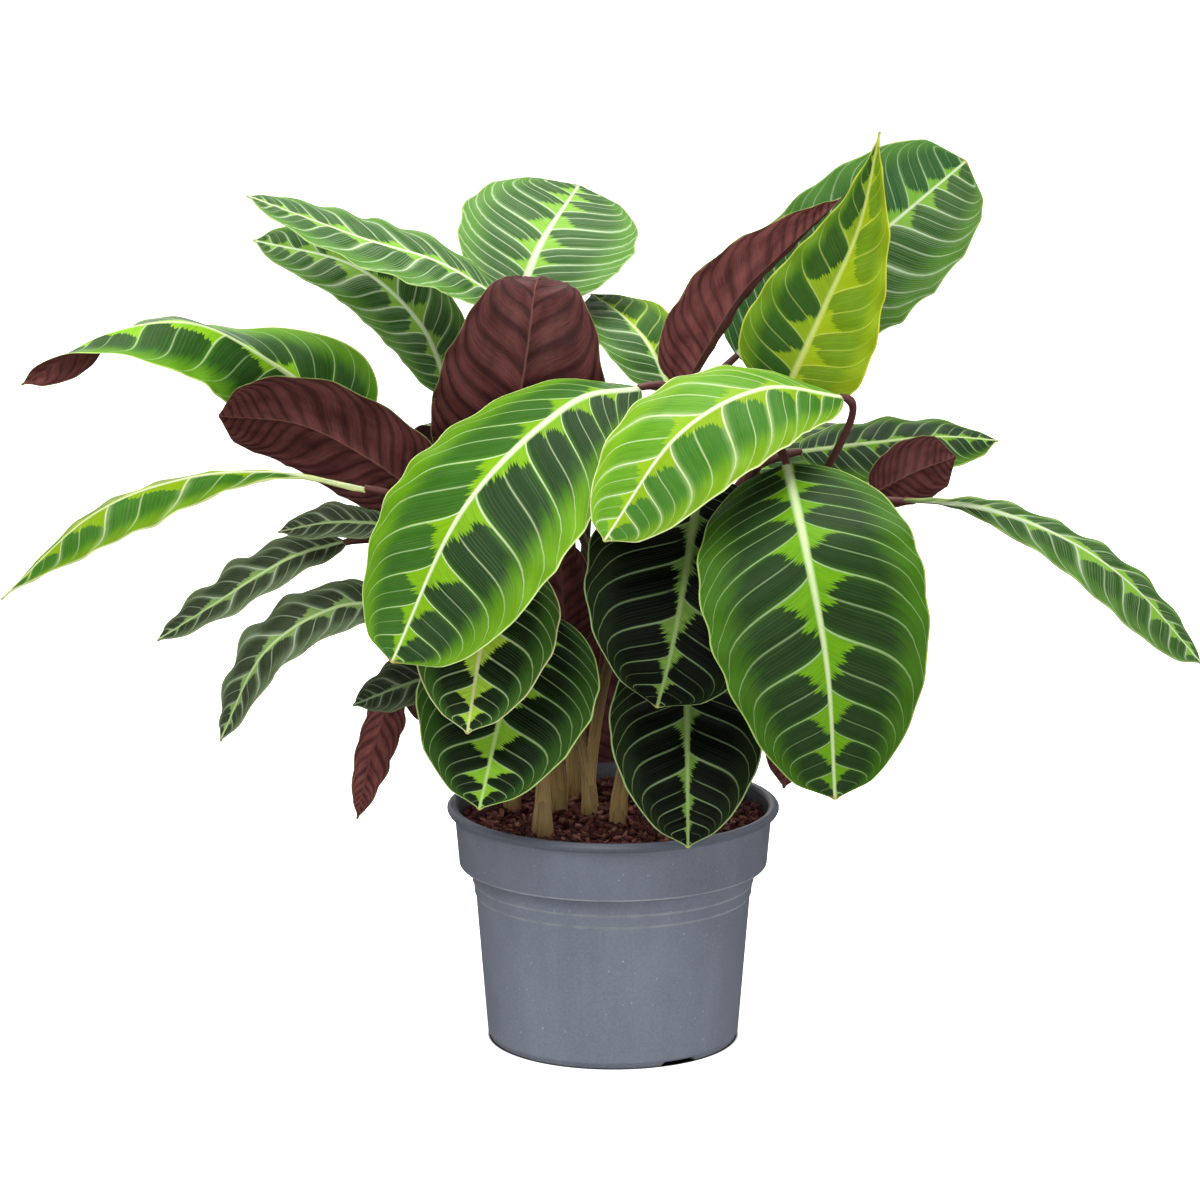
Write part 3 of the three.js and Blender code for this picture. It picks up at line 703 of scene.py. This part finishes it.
def under_pattern():
    """The group that paints a blade's burgundy underside, with painted shade between its ridges."""
    g = BladePattern("calathea_under", (), ("ridges", "glow", "cell", "midrib", "seed"))
    ridges = g.given["ridges"]
    grain = g.speckle(34.0, 3.0)
    cloud = g.speckle(1.2, 3.0, 3.0, 0.5)
    tone = g.rise(grain * 0.55 + cloud * 0.6, 0.3, 0.85)
    colour = g.mix(tone, rgb(UNDERSIDE["dark"]), rgb(UNDERSIDE["light"]))
    # painted shade and light: the colour darkens between the ridges and lightens a little on their
    # crests; crest also raises the bump
    crest = g.size(g.math("SINE", g.vein_number * (2 * math.pi)))
    g.colour = g.shaded(colour, g.given["glow"] * g.rise(crest, 0.0, 1.0, 1.0 - ridges, 1.1))
    # painted shade in the grooves along the main and side veins
    groove = g.math("MAXIMUM", g.near_vein(0.0, 4.0), g.near_vein(0.5, 3.0) * 0.5)
    groove = groove * g.rise(g.share, 0.95, 1.0, 1.0, 0.0)
    g.paint(groove * ridges, rgb(UNDERSIDE["groove"]))
    rib = g.rise(g.from_rib, g.rib_width * 0.5, g.rib_width, 0.6, 0.0)
    g.paint(rib, rgb(UNDERSIDE["rib"]))
    g.paint(g.rise(g.from_rim, 0.25, 0.8, 0.75, 0.0), rgb(UNDERSIDE["rim"]))
    return g.finish(crest * 0.8 + grain * 0.4)


UPPER = upper_pattern()
UNDER = under_pattern()


def blade_material(name, tree, values, relief, **constants):
    """A material whose colour and bump come from a pattern group fed with these values."""
    material, g, shader = new_material(name, **constants)
    colour = g.node("Group", node_tree=tree)
    pattern = colour.socket.node
    for key, value in values.items():
        pattern.inputs[key].default_value = value
    height = Value(g, pattern.outputs["Height"])
    finish_surface(g, shader, colour, g.rise(height, 0.1, 0.9, 0.44, 0.56),
                   g.bump(height, 0.5, relief))
    return material


def upper_material(name, look, blade, shared):
    """The upper side in this look."""
    values = shared | {key: look[key] for key in LOOK_AMOUNTS} | {"feather": blade.lime}
    for key in LOOK_COLOURS:
        values[key] = [min(part * blade.tone, 1.0) for part in rgb(look[key])[:3]] + [1.0]
    return blade_material(name, UPPER, values, BUMPS["upper"], Specular_IOR_Level=look["gloss"])


def blade_materials(name, blade, length, seed):
    """The materials of the upper side's left and right halves and of the underside."""
    shared = {"cell": CELL_SHARE * length / blade.cells,
              "midrib": lerp(*RIB_WIDTHS, blade.width / WIDE), "seed": seed}
    left = upper_material(name + "_upper", LOOKS[blade.look], blade, shared)
    right = left
    if blade.right:
        right = upper_material(name + "_right", LOOKS[blade.right], blade, shared)
    values = shared | {"ridges": blade.ridges, "glow": blade.glow}
    under = blade_material(name + "_under", UNDER, values, BUMPS["under"],
                           Specular_IOR_Level=0.12, Sheen_Weight=0.06, Sheen_Roughness=0.5,
                           Sheen_Tint=rgb(UNDERSIDE["down"]))
    return [left, right, under]


# ---- The blades ----

VEIN_ADVANCE = 18  # mm that a vein runs towards the tip on its way to the margin,
VEIN_SLANT = 0.75  # and this share of the half width on top
VEIN_END = 0.96  # the last veins run this far towards the tip
VEIN_START = 0.35  # near the base the veins run out this much straighter
VEIN_STAGGER = 0.3  # the left veins leave the midrib this share of a cell later
CROWDING = 0.075  # the cells are smaller at both ends
DRIP_TIP = 9  # mm over which a blade draws in to its tip
RIB_RISE = 0.35  # mm that the midrib stands above the upper side
SPINE = (2.2, 0.8)  # mm, half the width of the midrib and keel at the base and at the tip
RIM_THINNING = 0.7  # the share of its thickness that a blade loses towards its margin


def vein_shape(a):
    """A vein's way towards the tip by its share of the half width: it leaves the midrib in a
    tight bend, runs out straight, and turns to follow the margin."""
    return 0.09 * (1 - np.exp(-a / 0.1)) + 0.43 * a + 0.48 * a**7


def vein_number(t, s, blade, length):
    """Counts the main veins from base to tip: whole numbers are on a vein."""
    advance = (VEIN_ADVANCE + VEIN_SLANT * blade.width / 2) / length
    start = np.linspace(-0.6, 1, 400)  # where on the midrib a vein starts
    spread = advance * np.tanh(VEIN_END * (1 - start) / advance)
    spread = spread * lerp(VEIN_START, 1.0, smooth(-0.1, 0.35, start))
    w = np.stack([np.interp(t[:, 0], start + spread * shape, start)
                  for shape in vein_shape(np.abs(s[0]))], -1)
    number = blade.cells * (w + CROWDING * np.sin(2 * np.pi * w))
    return number + np.where(s < 0, VEIN_STAGGER, 0.0)


def blade_outline(shape, t):
    a, b = shape
    peak = a / (a + b)
    return (t / peak) ** a * ((1 - t) / (1 - peak)) ** b


def blade_rows(rib, blade):
    """Each row's share of the length, its place, and its directions across and out of the blade."""
    count = 2 * round(rib.length / ROW / 2)
    t = np.arange(count + 1) / count
    place, tangent = rib.shares(t)
    normal = carried(tangent, blade.face, count // 2)
    turn = np.radians(np.where(t < 0.5, *blade.twist) * (2 * t - 1) ** 2)[:, None]
    up = normal * np.cos(turn) + np.cross(tangent, normal) * np.sin(turn)
    return t[:, None], place, np.cross(tangent, up), up


def blade_form(blade, t, s, number, length):
    """How far each point lies out from the midrib, and its heights above and below, in mm."""
    a = np.abs(s)
    waves = 2 * round(length / BLADE.step / 2)
    wave = blade.wavy * np.cos(np.pi * t * waves) * np.sin(np.pi * t)
    cusp = 0.5 - np.abs(np.sin(np.pi * vein_number(t, np.sign(s), blade, length)))
    teeth = np.where(s < 0, blade.left_teeth, blade.teeth)
    ends = np.sin(np.pi * t) ** 0.5
    least = lerp(BLADE.baseWidth, BLADE.tipWidth, t) / 2
    pinch = np.minimum(1.0, (1 - t) * length / DRIP_TIP) ** 0.6
    half = np.maximum(least, blade.width / 2 * blade_outline(blade.outline, t) * pinch)
    reach = half * (1 + BLADE.edgeScallop * wave * a) + teeth * cusp * ends * a**6
    fold = math.radians(blade.fold)
    lift = reach * (a * math.sin(fold) - BLADE.droop * s**2) + BLADE.edgeWave * wave * s**2
    bulge = 0.65 * np.sin(np.pi * number) ** 2 + 0.35 * np.sin(2 * np.pi * number) ** 2
    bulge = bulge * smooth(0.02, 0.3, a) * (1 - 0.45 * a**4) * ends * blade.relief
    across = half * a
    spine = np.exp(-((across / lerp(*SPINE, t)) ** 2))
    thick = BLADE.thickness / 2 * (1 - RIM_THINNING * a**8)
    above = lift + bulge + thick + RIB_RISE * spine * (1 - t)
    below = lift + bulge - thick - lerp(BLADE.keel, BLADE.keelTip, t) * spine
    return reach * s * math.cos(fold), across, above, below


def blade_faces(rows, columns):
    """Quads round a blade whose rings run across its top and back under it, with both ends."""
    ring = 2 * columns
    last = (rows - 1) * ring
    caps = []
    for j in range(columns - 1):
        k = ring - 1 - j
        caps += [(j, k, k - 1, j + 1), (last + j, last + j + 1, last + k - 1, last + k)]
    return np.vstack([ring_faces(rows, ring), np.array(caps)])


def blade_piece(name, blade, seed):
    rib = Spline(blade.rib)
    t, place, side, up = blade_rows(rib, blade)
    x = np.linspace(-1, 1, 2 * BLADE_COLUMNS + 1)
    s = (np.sign(x) * np.abs(x) ** COLUMN_CROWDING)[None, :]
    number = vein_number(t, s, blade, rib.length)
    out, across, above, below = blade_form(blade, t, s, number, rib.length)

    def grid(height):
        return place[:, None] + side[:, None] * out[..., None] + up[:, None] * height[..., None]

    rows, columns = number.shape
    ring = 2 * columns
    points = np.concatenate([grid(above), grid(below)[:, ::-1]], axis=1).reshape(-1, 3)
    faces = blade_faces(rows, columns)

    def per_corner(first, second):
        """A UV map from two grids, the same on both sides of the blade."""
        grids = [np.broadcast_to(v, (rows, columns)) for v in (first, second)]
        flat = [np.concatenate([v, v[:, ::-1]], axis=1).ravel() for v in grids]
        return np.stack(flat, -1)[faces.ravel()]

    corner_column = faces % ring
    corner_column = np.where(corner_column >= columns, ring - 1 - corner_column, corner_column)
    left = corner_column.min(1) < BLADE_COLUMNS
    veins = per_corner(number, s)
    # on the midrib, a left face reads the left veins' number
    at_rib = (corner_column == BLADE_COLUMNS).ravel()
    veins[at_rib & np.repeat(left, 4), 0] += VEIN_STAGGER
    is_under = (faces % ring >= columns).all(1)
    piece = make_piece(name + "_blade", points, faces.tolist(),
                       blade_materials(name, blade, rib.length, seed),
                       {"veins": veins, "span": per_corner(t, across)},
                       np.where(is_under, 2, np.where(left, 0, 1)))
    add_to_plant(piece, LOOKS[blade.look]["slot"], name)


# ---- The stalks ----

# a stalk's radius in mm by its share of the length: slim above its sheath,
STALK_RADIUS = [(0, 4.2), (0.12, 3.7), (0.35, 2.9), (0.8, 2.3), (1, 2.1)]
# and swollen at the blade's joint: mm, the share of the length there, and how much it spreads
JOINT = (0.7, 0.93, 0.045)
# a sheath's radius as a share of the clump's, by its height in mm
SHEATH = [(108, 1), (130, 1), (138, 1.02), (144, 1.0), (150, 0.95), (156, 0.86), (162, 0.74),
          (167, 0.5)]
SHEATH_MAP = 0.15  # a sheath takes its colour from this share of a stalk
STALK_END = 0.8  # mm that a stalk runs on into its blade


def bezier(points, u):
    a, b, c, d = (np.array(p, float) for p in points)
    u = u[:, None]
    place = (1 - u)**3 * a + 3 * (1 - u)**2 * u * b + 3 * (1 - u) * u**2 * c + u**3 * d
    slope = 3 * ((1 - u)**2 * (b - a) + 2 * (1 - u) * u * (c - b) + u**2 * (d - c))
    return place, unit(slope)


def stalk_radius(u):
    swell, at, spread = JOINT
    return np.interp(u, *zip(*STALK_RADIUS)) + swell * np.exp(-(((u - at) / spread) ** 2))


def tube(place, direction, radius, sides, ribs=0.0, rib_count=5):
    """Rings of points round a path; ribs is the height of fine ribs as a share of the radius."""
    normal = carried(direction, (0.31, 0.95, 0.02), 0)
    side = np.cross(direction, normal)
    angle = 2 * np.pi * np.arange(sides) / sides
    r = radius[:, None] * (1 + ribs * np.cos(rib_count * angle)[None, :])
    return (place[:, None] + normal[:, None] * (r * np.cos(angle))[..., None]
            + side[:, None] * (r * np.sin(angle))[..., None])


def tube_parts(rings, u):
    """Points, faces and UVs (angle, share of the length) of a tube closed at both ends."""
    points, faces = closed(rings)
    sides = rings.shape[1]
    quads = np.array(faces[:-2])
    turn = np.arange(len(quads))[:, None] % sides + [0, 1, 1, 0]
    uvs = np.stack([turn / sides, u[quads // sides]], -1).reshape(-1, 2)
    ends = [[0.0, u[0]]] * sides + [[0.0, u[-1]]] * sides
    return points, faces, np.vstack([uvs, ends])


def stalk_material():
    material, g, shader = new_material("stalk", Specular_IOR_Level=0.4)
    angle, height = g.map("stalk")
    wobble = g.noise(g.vector(angle * 6.0, height * 5.0), 1.0)
    streak = g.noise(g.vector(angle * 26.0, height * 5.0), 1.0, 3.0, 0.6)
    colour = g.ramp(height + (wobble - 0.5) * 0.25, STALK_COLOUR)
    colour = g.mix(g.rise(streak, 0.42, 0.68, 0.0, 0.65), colour, rgb(STALK_STREAK))
    finish_surface(g, shader, colour, g.rise(streak, 0.3, 0.7, 0.42, 0.6),
                   g.bump(streak, 0.4, 0.0006))
    return material


def sheath(x, y, radius):
    z, share = np.array(SHEATH).T
    path = np.stack([np.full(len(z), x), np.full(len(z), y), z], -1)
    up = np.tile([0.0, 0.0, 1.0], (len(z), 1))
    rings = tube(path, up, radius * share, 2 * STALK_SIDES, 0.05, 3)
    return tube_parts(rings, np.linspace(0, SHEATH_MAP, len(z)))


def stalk(foot, blade):
    """One stalk, from its foot in the clump to where its blade begins."""
    u = np.linspace(0, 1, STALK_ROWS + 1)
    base, after = (np.array(point, float) for point in blade.rib[:2])
    heading = unit(after - base)
    end = base + heading * STALK_END
    rising = lerp(foot, end, STALK.lean)
    rising[2] = lerp(foot[2], end[2], STALK.rise)
    turning = end - heading * blade.reach * np.linalg.norm(end - foot)
    place, direction = bezier([foot, rising, turning, end], u)
    return tube_parts(tube(place, direction, stalk_radius(u), STALK_SIDES, 0.03), u)


def shoot_piece(name, spot, material):
    """A clump: the sheath that rises from the soil, and the stalks that leave it."""
    x, y, radius = spot
    blades = [blade for blade in LEAVES.values() if name == f"shoot_{blade.shoot}"]
    parts = [sheath(x, y, radius)]
    for i, blade in enumerate(blades):
        angle = 2 * math.pi * i / len(blades)
        foot = np.array([x + STALK.spread * math.cos(angle),
                         y + STALK.spread * math.sin(angle),
                         STALK.sheathTop - STALK.sunk])
        parts.append(stalk(foot, blade))
    points, faces, uvs = joined(parts)
    piece = make_piece(name + "_stalks", points, faces, [material], {"stalk": uvs})
    add_to_plant(piece, "stalk", name)


# ---- The soil ----

BED_SINK = 1.5  # mm that the bed lies below the soil's level
BED_TINT = [0.15, 0.0]
CHUNK = SimpleNamespace(
    size=(1.2, 2.6),  # mm, its half width
    length=(1.0, 2.4),  # times its width
    height=(0.4, 0.9),
    roughness=(0.75, 1.2),  # each corner's distance from the middle
    lift=(-1.2, 2.2),  # mm over the soil's level
    inset=3.5,  # mm from the pot's wall
)


def bark_material():
    material, g, shader = new_material("bark_soil", Specular_IOR_Level=0.25)
    tint, fleck = g.map("tint")
    grain = g.noise(g.place(), 700.0, 4.0, 0.65)
    stops = [(i / (len(BARK) - 1) * 0.9 + 0.08, colour) for i, colour in enumerate(BARK)]
    finish_surface(g, shader, g.ramp(tint * 0.7 + grain * 0.45, stops),
                   g.rise(grain + fleck, 0.4, 1.4, 0.95, 0.6), g.bump(grain, 0.7, 0.0008))
    return material


def soil_ground(radius, draw):
    """The closed bed that the chunks lie on: an uneven top over a plain plug."""
    share = np.linspace(0.0, 1.0, SOIL_RINGS + 1)[1:]
    angle = 2 * np.pi * np.arange(SOIL_SIDES) / SOIL_SIDES
    r = (radius * share)[:, None]
    x, y = r * np.cos(angle), r * np.sin(angle)
    rough = draw.normal(0, 0.5, x.shape) * (share < 0.985)[:, None]
    hills = 1.2 * np.sin(x / 11) * np.cos(y / 14 + 1) + 0.8 * np.sin(x / 5 + y / 7)
    z = SOIL_LEVEL - BED_SINK + rough + hills * smooth(1.0, 0.8, share)[:, None]
    top = np.stack([x, y, z], -1)
    foot = np.stack([x[-1] * 0.995, y[-1] * 0.995, np.full(SOIL_SIDES, SOIL_FOOT)], -1)[None]
    points, faces = closed(np.concatenate([foot, top[::-1]]), end=(0, 0, SOIL_LEVEL - BED_SINK))
    return points, faces, np.tile(BED_TINT, (sum(len(face) for face in faces), 1))


def shard():
    """The corners and faces of a rough 20-sided body of radius 1."""
    golden = (1 + math.sqrt(5)) / 2
    flat = [(-1, golden), (1, golden), (-1, -golden), (1, -golden)]
    corners = [(x, y, 0) for x, y in flat]
    corners += [(0, x, y) for x, y in flat] + [(y, 0, x) for x, y in flat]
    faces = [(0, 11, 5), (0, 5, 1), (0, 1, 7), (0, 7, 10), (0, 10, 11), (1, 5, 9), (5, 11, 4),
             (11, 10, 2), (10, 7, 6), (7, 1, 8), (3, 9, 4), (3, 4, 2), (3, 2, 6), (3, 6, 8),
             (3, 8, 9), (4, 9, 5), (2, 4, 11), (6, 2, 10), (8, 6, 7), (9, 8, 1)]
    return unit(np.array(corners, float)), faces


def turned(angle, i, j):
    """A rotation from axis i towards axis j."""
    matrix = np.eye(3)
    matrix[i, i] = matrix[j, j] = math.cos(angle)
    matrix[i, j], matrix[j, i] = -math.sin(angle), math.sin(angle)
    return matrix


def random_turn(draw):
    """A random rotation, with long sides mostly level."""
    heading, tilt, roll = draw.uniform(0, 2 * math.pi), draw.normal(0, 0.35), draw.uniform(0, 6.28)
    return turned(heading, 0, 1) @ turned(tilt, 2, 0) @ turned(roll, 1, 2)


def chunk(corners, radius, draw):
    """The points and the tint of one piece of bark."""
    size = draw.uniform(*CHUNK.size) * np.array([draw.uniform(*CHUNK.length), 1.0,
                                                    draw.uniform(*CHUNK.height)])
    body = corners * size * draw.uniform(*CHUNK.roughness, (len(corners), 1))
    distance = (radius - CHUNK.inset) * math.sqrt(draw.uniform())
    angle = draw.uniform(0, 2 * math.pi)
    spot = np.array([distance * math.cos(angle), distance * math.sin(angle),
                     SOIL_LEVEL + draw.uniform(*CHUNK.lift)])
    body = body @ random_turn(draw).T + spot
    return body, [draw.uniform(0.05, 1.0) ** 1.5, draw.uniform()]


def soil_piece():
    draw = np.random.default_rng(SEED)
    rise = (SOIL_LEVEL - POT.ledgeTop) / (POT.height - POT.ledgeTop)
    radius = lerp(POT.collarFootRadius, POT.collarRadius, rise) - POT.wall - 0.4
    corners, faces = shard()
    parts = [soil_ground(radius, draw)]
    for _ in range(CHUNKS):
        body, tint = chunk(corners, radius, draw)
        parts.append((body, faces, np.tile(tint, (3 * len(faces), 1))))
    points, faces, uvs = joined(parts)
    piece = make_piece("soil_bark", points, faces, [bark_material()], {"tint": uvs},
                       sharp=math.radians(20))
    add_to_plant(piece, "soil", "soil")


# ---- The pot ----

ROUNDING = 0.8  # mm, of the corners of its section
# heights in mm, widths in mm and strengths of the painted highlights on its ledge and fine lines
WEAR = [(POT.ledgeTop + 0.5, 1.0, 0.5), (POT.lines[0], 1.1, 0.55),
        (POT.lines[1], 1.1, 0.55)]


def rounded(corners, radius):
    """A profile whose corners are rounded, each with an arc of up to this radius."""
    corners = [np.array(c, float) for c in corners]
    points = [corners[0]]
    for before, at, after in zip(corners, corners[1:], corners[2:]):
        back, on = before - at, after - at
        cut = min(radius, 0.45 * np.linalg.norm(back), 0.45 * np.linalg.norm(on))
        start, end = at + unit(back) * cut, at + unit(on) * cut
        for k in range(ARC_STEPS + 1):
            f = k / ARC_STEPS
            points.append((1 - f)**2 * start + 2 * f * (1 - f) * at + f**2 * end)
    points.append(corners[-1])
    return np.array(points)


def pot_profile():
    """The closed cross-section, from the axis under the floor to the axis on top of it."""
    p = POT
    top, wall, body = p.height, p.wall, p.bodyRadius
    corner, lip, ring = p.cornerRadius, p.lipRadius, p.ringRadius
    ring_inside = ring - p.ringWidth
    slope = (body - corner) / (p.ledgeFoot - p.floorTop)
    under_lip = top - p.lipHeight

    def body_at(z):
        return corner + slope * (z - p.floorTop) - len(p.lines) * p.lineStep

    outside = [(0, 0), (p.centreFootRadius, 0), (p.centreFootRadius + 1, p.floorUnder),
               (ring_inside - 1, p.floorUnder), (ring_inside, 0), (ring, 0),
               (body_at(p.cornerHeight), p.cornerHeight)]
    for i, z in enumerate(p.lines):
        outside += [(body_at(z) + p.lineStep * i, z - p.lineSlope),
                    (body_at(z) + p.lineStep * (i + 1), z + p.lineSlope)]
    outside += [(body, p.ledgeFoot), (p.collarFootRadius, p.ledgeTop),
                (p.collarRadius, under_lip - 1), (lip - 1, under_lip), (lip, under_lip + 2),
                (lip, top - 2), (lip - 2, top)]
    inside = [(p.collarRadius - wall + 2, top), (p.collarRadius - wall, top - 2),
              (p.collarFootRadius - wall, p.ledgeTop + wall),
              (body - wall, p.ledgeFoot + wall), (corner - wall, p.floorTop + wall),
              (corner - 2 * wall, p.floorTop), (0, p.floorTop)]
    return rounded(outside + inside, ROUNDING)


def pot_material():
    """Speckled plastic, with painted highlights along its ledge and fine lines, and painted shade
    over its collar, more over its lip, and over its inside.
    """
    material, g, shader = new_material("pot_plastic", Specular_IOR_Level=0.4)
    place = g.place()
    x, y, z = g.split(place)
    inner = g.map("inside")[1]
    cloud = g.noise(place, 14.0, 3.0, 0.6)
    fine = g.noise(place, 620.0, 3.0, 0.7)
    streak = g.noise(g.vector(x * 60.0, y * 60.0, z * 7.0), 1.0, 3.0, 0.55)
    edge = rgb(POT_COLOUR["edge"])
    tone = g.rise(cloud * 0.4 + (fine * 0.5 + streak * 0.2), 0.35, 0.75)
    colour = g.mix(tone, rgb(POT_COLOUR["dark"]), rgb(POT_COLOUR["light"]))
    # painted highlights: pale bands where the ledge and the fine lines catch the light
    for height, width, strength in WEAR:
        worn = g.rise(g.size(z - height * MM), 0.4 * width * MM, width * MM, strength, 0.0)
        colour = g.mix(worn * g.rise(streak, 0.3, 0.6, 0.5, 1.0), colour, edge)
    fleck = g.noise(place, 420.0, 1.0, 0.4)
    colour = g.mix(g.rise(fleck, 0.74, 0.8, 0.0, 0.5), colour, edge)
    # painted shade: the collar darkens a little and the lip more, towards the inside colour, for
    # the shade under the leaves, and the inside of the pot is painted in shade
    top, ledge = POT.height, POT.ledgeTop
    collar = g.rise(z, (ledge - 1) * MM, (ledge + 1) * MM, 0.0, 0.15)
    lip = g.rise(z, (top - POT.lipHeight) * MM, (top - 2) * MM, 0.0, 0.45)
    colour = g.mix(g.math("MAXIMUM", collar + lip, inner * 0.6), colour,
                   rgb(POT_COLOUR["inside"]))
    finish_surface(g, shader, colour, g.rise(fine + streak, 0.6, 1.4, 0.38, 0.55),
                   g.bump(fine, 0.4, 0.0004))
    return material


def notched(radius, height, angle):
    """The heights of the pot's points, with the standing ring cut away over each notch."""
    p = POT
    spacing = 2 * np.pi / p.notches
    to_notch = (angle - math.radians(p.notchAngle) + spacing / 2) % spacing - spacing / 2
    in_notch = p.ringRadius * np.abs(to_notch) < p.notchWidth / 2
    on_ring = (radius > p.ringRadius - p.ringWidth - 1.2) & (height < p.notchHeight)
    return np.where(on_ring & in_notch, p.notchHeight, height)


def pot_piece():
    profile = pot_profile()
    angle = 2 * np.pi * np.arange(POT_SIDES) / POT_SIDES
    radius, height = profile[1:-1, 0][:, None], profile[1:-1, 1][:, None]
    z = notched(radius, height, angle)
    rings = np.stack([radius * np.cos(angle), radius * np.sin(angle), z], -1)
    points, faces = closed(rings, (0, 0, profile[0, 1]), (0, 0, profile[-1, 1]))
    # the rim ends with its inner arc, one arc past its first row at full height
    rim_row = int(np.argmax(height[:, 0] >= POT.height - 0.01)) + ARC_STEPS + 2
    row_of = np.concatenate([np.array(face) for face in faces]) // POT_SIDES
    inner = (row_of > rim_row).astype(float)
    piece = make_piece("pot_shell", points, faces, [pot_material()],
                       {"inside": np.stack([np.zeros_like(inner), inner], -1)})
    drill_holes(piece)
    add_to_plant(piece, "pot", "pot")


def drill_holes(pot):
    """Cuts the drain holes out of the pot's floor."""
    over = 3.0  # mm that the drill runs past each side of the floor
    path = np.array([[0, 0, -over], [0, 0, POT.floorTop + over]])
    radius = np.full(2, float(POT.drainRadius))
    rings = tube(path, np.tile([0.0, 0.0, 1.0], (2, 1)), radius, DRILL_SIDES)
    points, faces, uvs = tube_parts(rings, np.zeros(2))
    parts = []
    for i in range(POT.drainHoles):
        turn = 2 * math.pi * i / POT.drainHoles
        spot = [POT.drainCircle * math.cos(turn), POT.drainCircle * math.sin(turn), 0]
        parts.append((points + spot, faces, uvs * 0))
    points, faces, uvs = joined(parts)
    cutter = make_piece("drill", points, faces, [], {"inside": uvs})
    cut = pot.modifiers.new("drain", "BOOLEAN")
    cut.object = cutter
    cut.operation = "DIFFERENCE"
    cut.solver = "EXACT"
    graph = bpy.context.evaluated_depsgraph_get()
    mesh = bpy.data.meshes.new_from_object(pot.evaluated_get(graph))
    pot.modifiers.clear()
    pot.data = mesh
    bpy.data.objects.remove(cutter)


# ---- The studio, in metres ----

# each light's place, size, power in watts, and the height on the axis that it faces
LIGHTS = {
    "key": ((-1.0, -1.9, 2.9), 2.2, 69, 0.3),
    "fill": ((1.6, -3.0, 1.0), 1.8, 19, 0.3),
    "low": ((0.0, -2.6, 0.4), 1.2, 16, 0.15),
    "top": ((0.3, 0.7, 2.8), 2.2, 69, 0.3),
    "left": ((-2.2, -0.3, 0.35), 1.0, 11, 0.1),
    "right": ((2.2, -0.3, 0.35), 1.0, 11, 0.1),
    "back": ((-0.6, 3.2, 1.4), 2.0, 26, 0.3),
}
FLOOR_REACH = 40.0
# the photograph's view: 3.6 m in front and 1.1 m up, through a long lens
CAMERA = SimpleNamespace(place=(-0.0083, -3.6, 1.095), tilt=77.29, lens=176.4, sensor=36)


def area_light(name, place, size, power, target):
    data = bpy.data.lights.new(name, "AREA")
    data.shape = "SQUARE"
    data.size = size
    data.energy = power
    light = linked(name, data)
    light.location = place
    x, y, z = place
    light.rotation_euler = (math.atan2(math.hypot(x, y), z - target), 0, math.atan2(x, -y))


def sky():
    """A white sky, a little brighter overhead."""
    world = bpy.data.worlds.new("studio")
    bpy.context.scene.world = world
    world.use_nodes = True
    g = Graph(world.node_tree)
    up = g.split(g.node("TexCoord", output="Generated"))[2]
    background = world.node_tree.nodes["Background"]
    background.inputs["Color"].default_value = WHITE
    g.feed(background.inputs["Strength"], g.rise(up, -0.3, 0.8, 0.09, 0.13))


def floor():
    """A plain white floor that casts no light on the plant, with a painted shadow under the pot."""
    far = FLOOR_REACH
    mesh = bpy.data.meshes.new("floor")
    mesh.from_pydata([(-far, -far, 0), (far, -far, 0), (far, far, 0), (-far, far, 0)], [],
                     [(0, 1, 2, 3)])
    piece = linked("floor", mesh)
    piece.visible_diffuse = False
    piece.visible_glossy = False
    piece.visible_shadow = False
    material, g, shader = new_material("floor", Roughness=0.9, Specular_IOR_Level=0.1,
                                       Emission_Color=WHITE)
    x, y, _ = g.split(g.place())
    from_pot = g.math("SQRT", x * x + y * y)
    foot = POT.ringRadius * MM
    # painted shadow: no light of its own and a black colour under the pot, rising to white just
    # past its foot
    white = g.rise(from_pot, foot + 0.5 * MM, foot + 3 * MM)
    g.feed(shader.inputs["Emission Strength"], white)
    g.feed(shader.inputs["Base Color"], g.vector(white, white, white))
    mesh.materials.append(material)
    piece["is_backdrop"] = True


def camera():
    data = bpy.data.cameras.new("camera")
    data.lens = CAMERA.lens
    data.sensor_width = CAMERA.sensor
    eye = linked("camera", data)
    eye.location = CAMERA.place
    eye.rotation_euler = (math.radians(CAMERA.tilt), 0, 0)
    bpy.context.scene.camera = eye


bpy.context.scene.view_settings.view_transform = "Standard"
camera()
sky()
for lamp, row in LIGHTS.items():
    area_light(lamp, *row)
floor()
pot_piece()
soil_piece()
stalks = stalk_material()
for shoot, where in SHOOTS.items():
    shoot_piece(shoot, where, stalks)
for count, (node, shape) in enumerate(LEAVES.items()):
    blade_piece(node, shape, SEED_STEP * count)

shown_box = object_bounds()
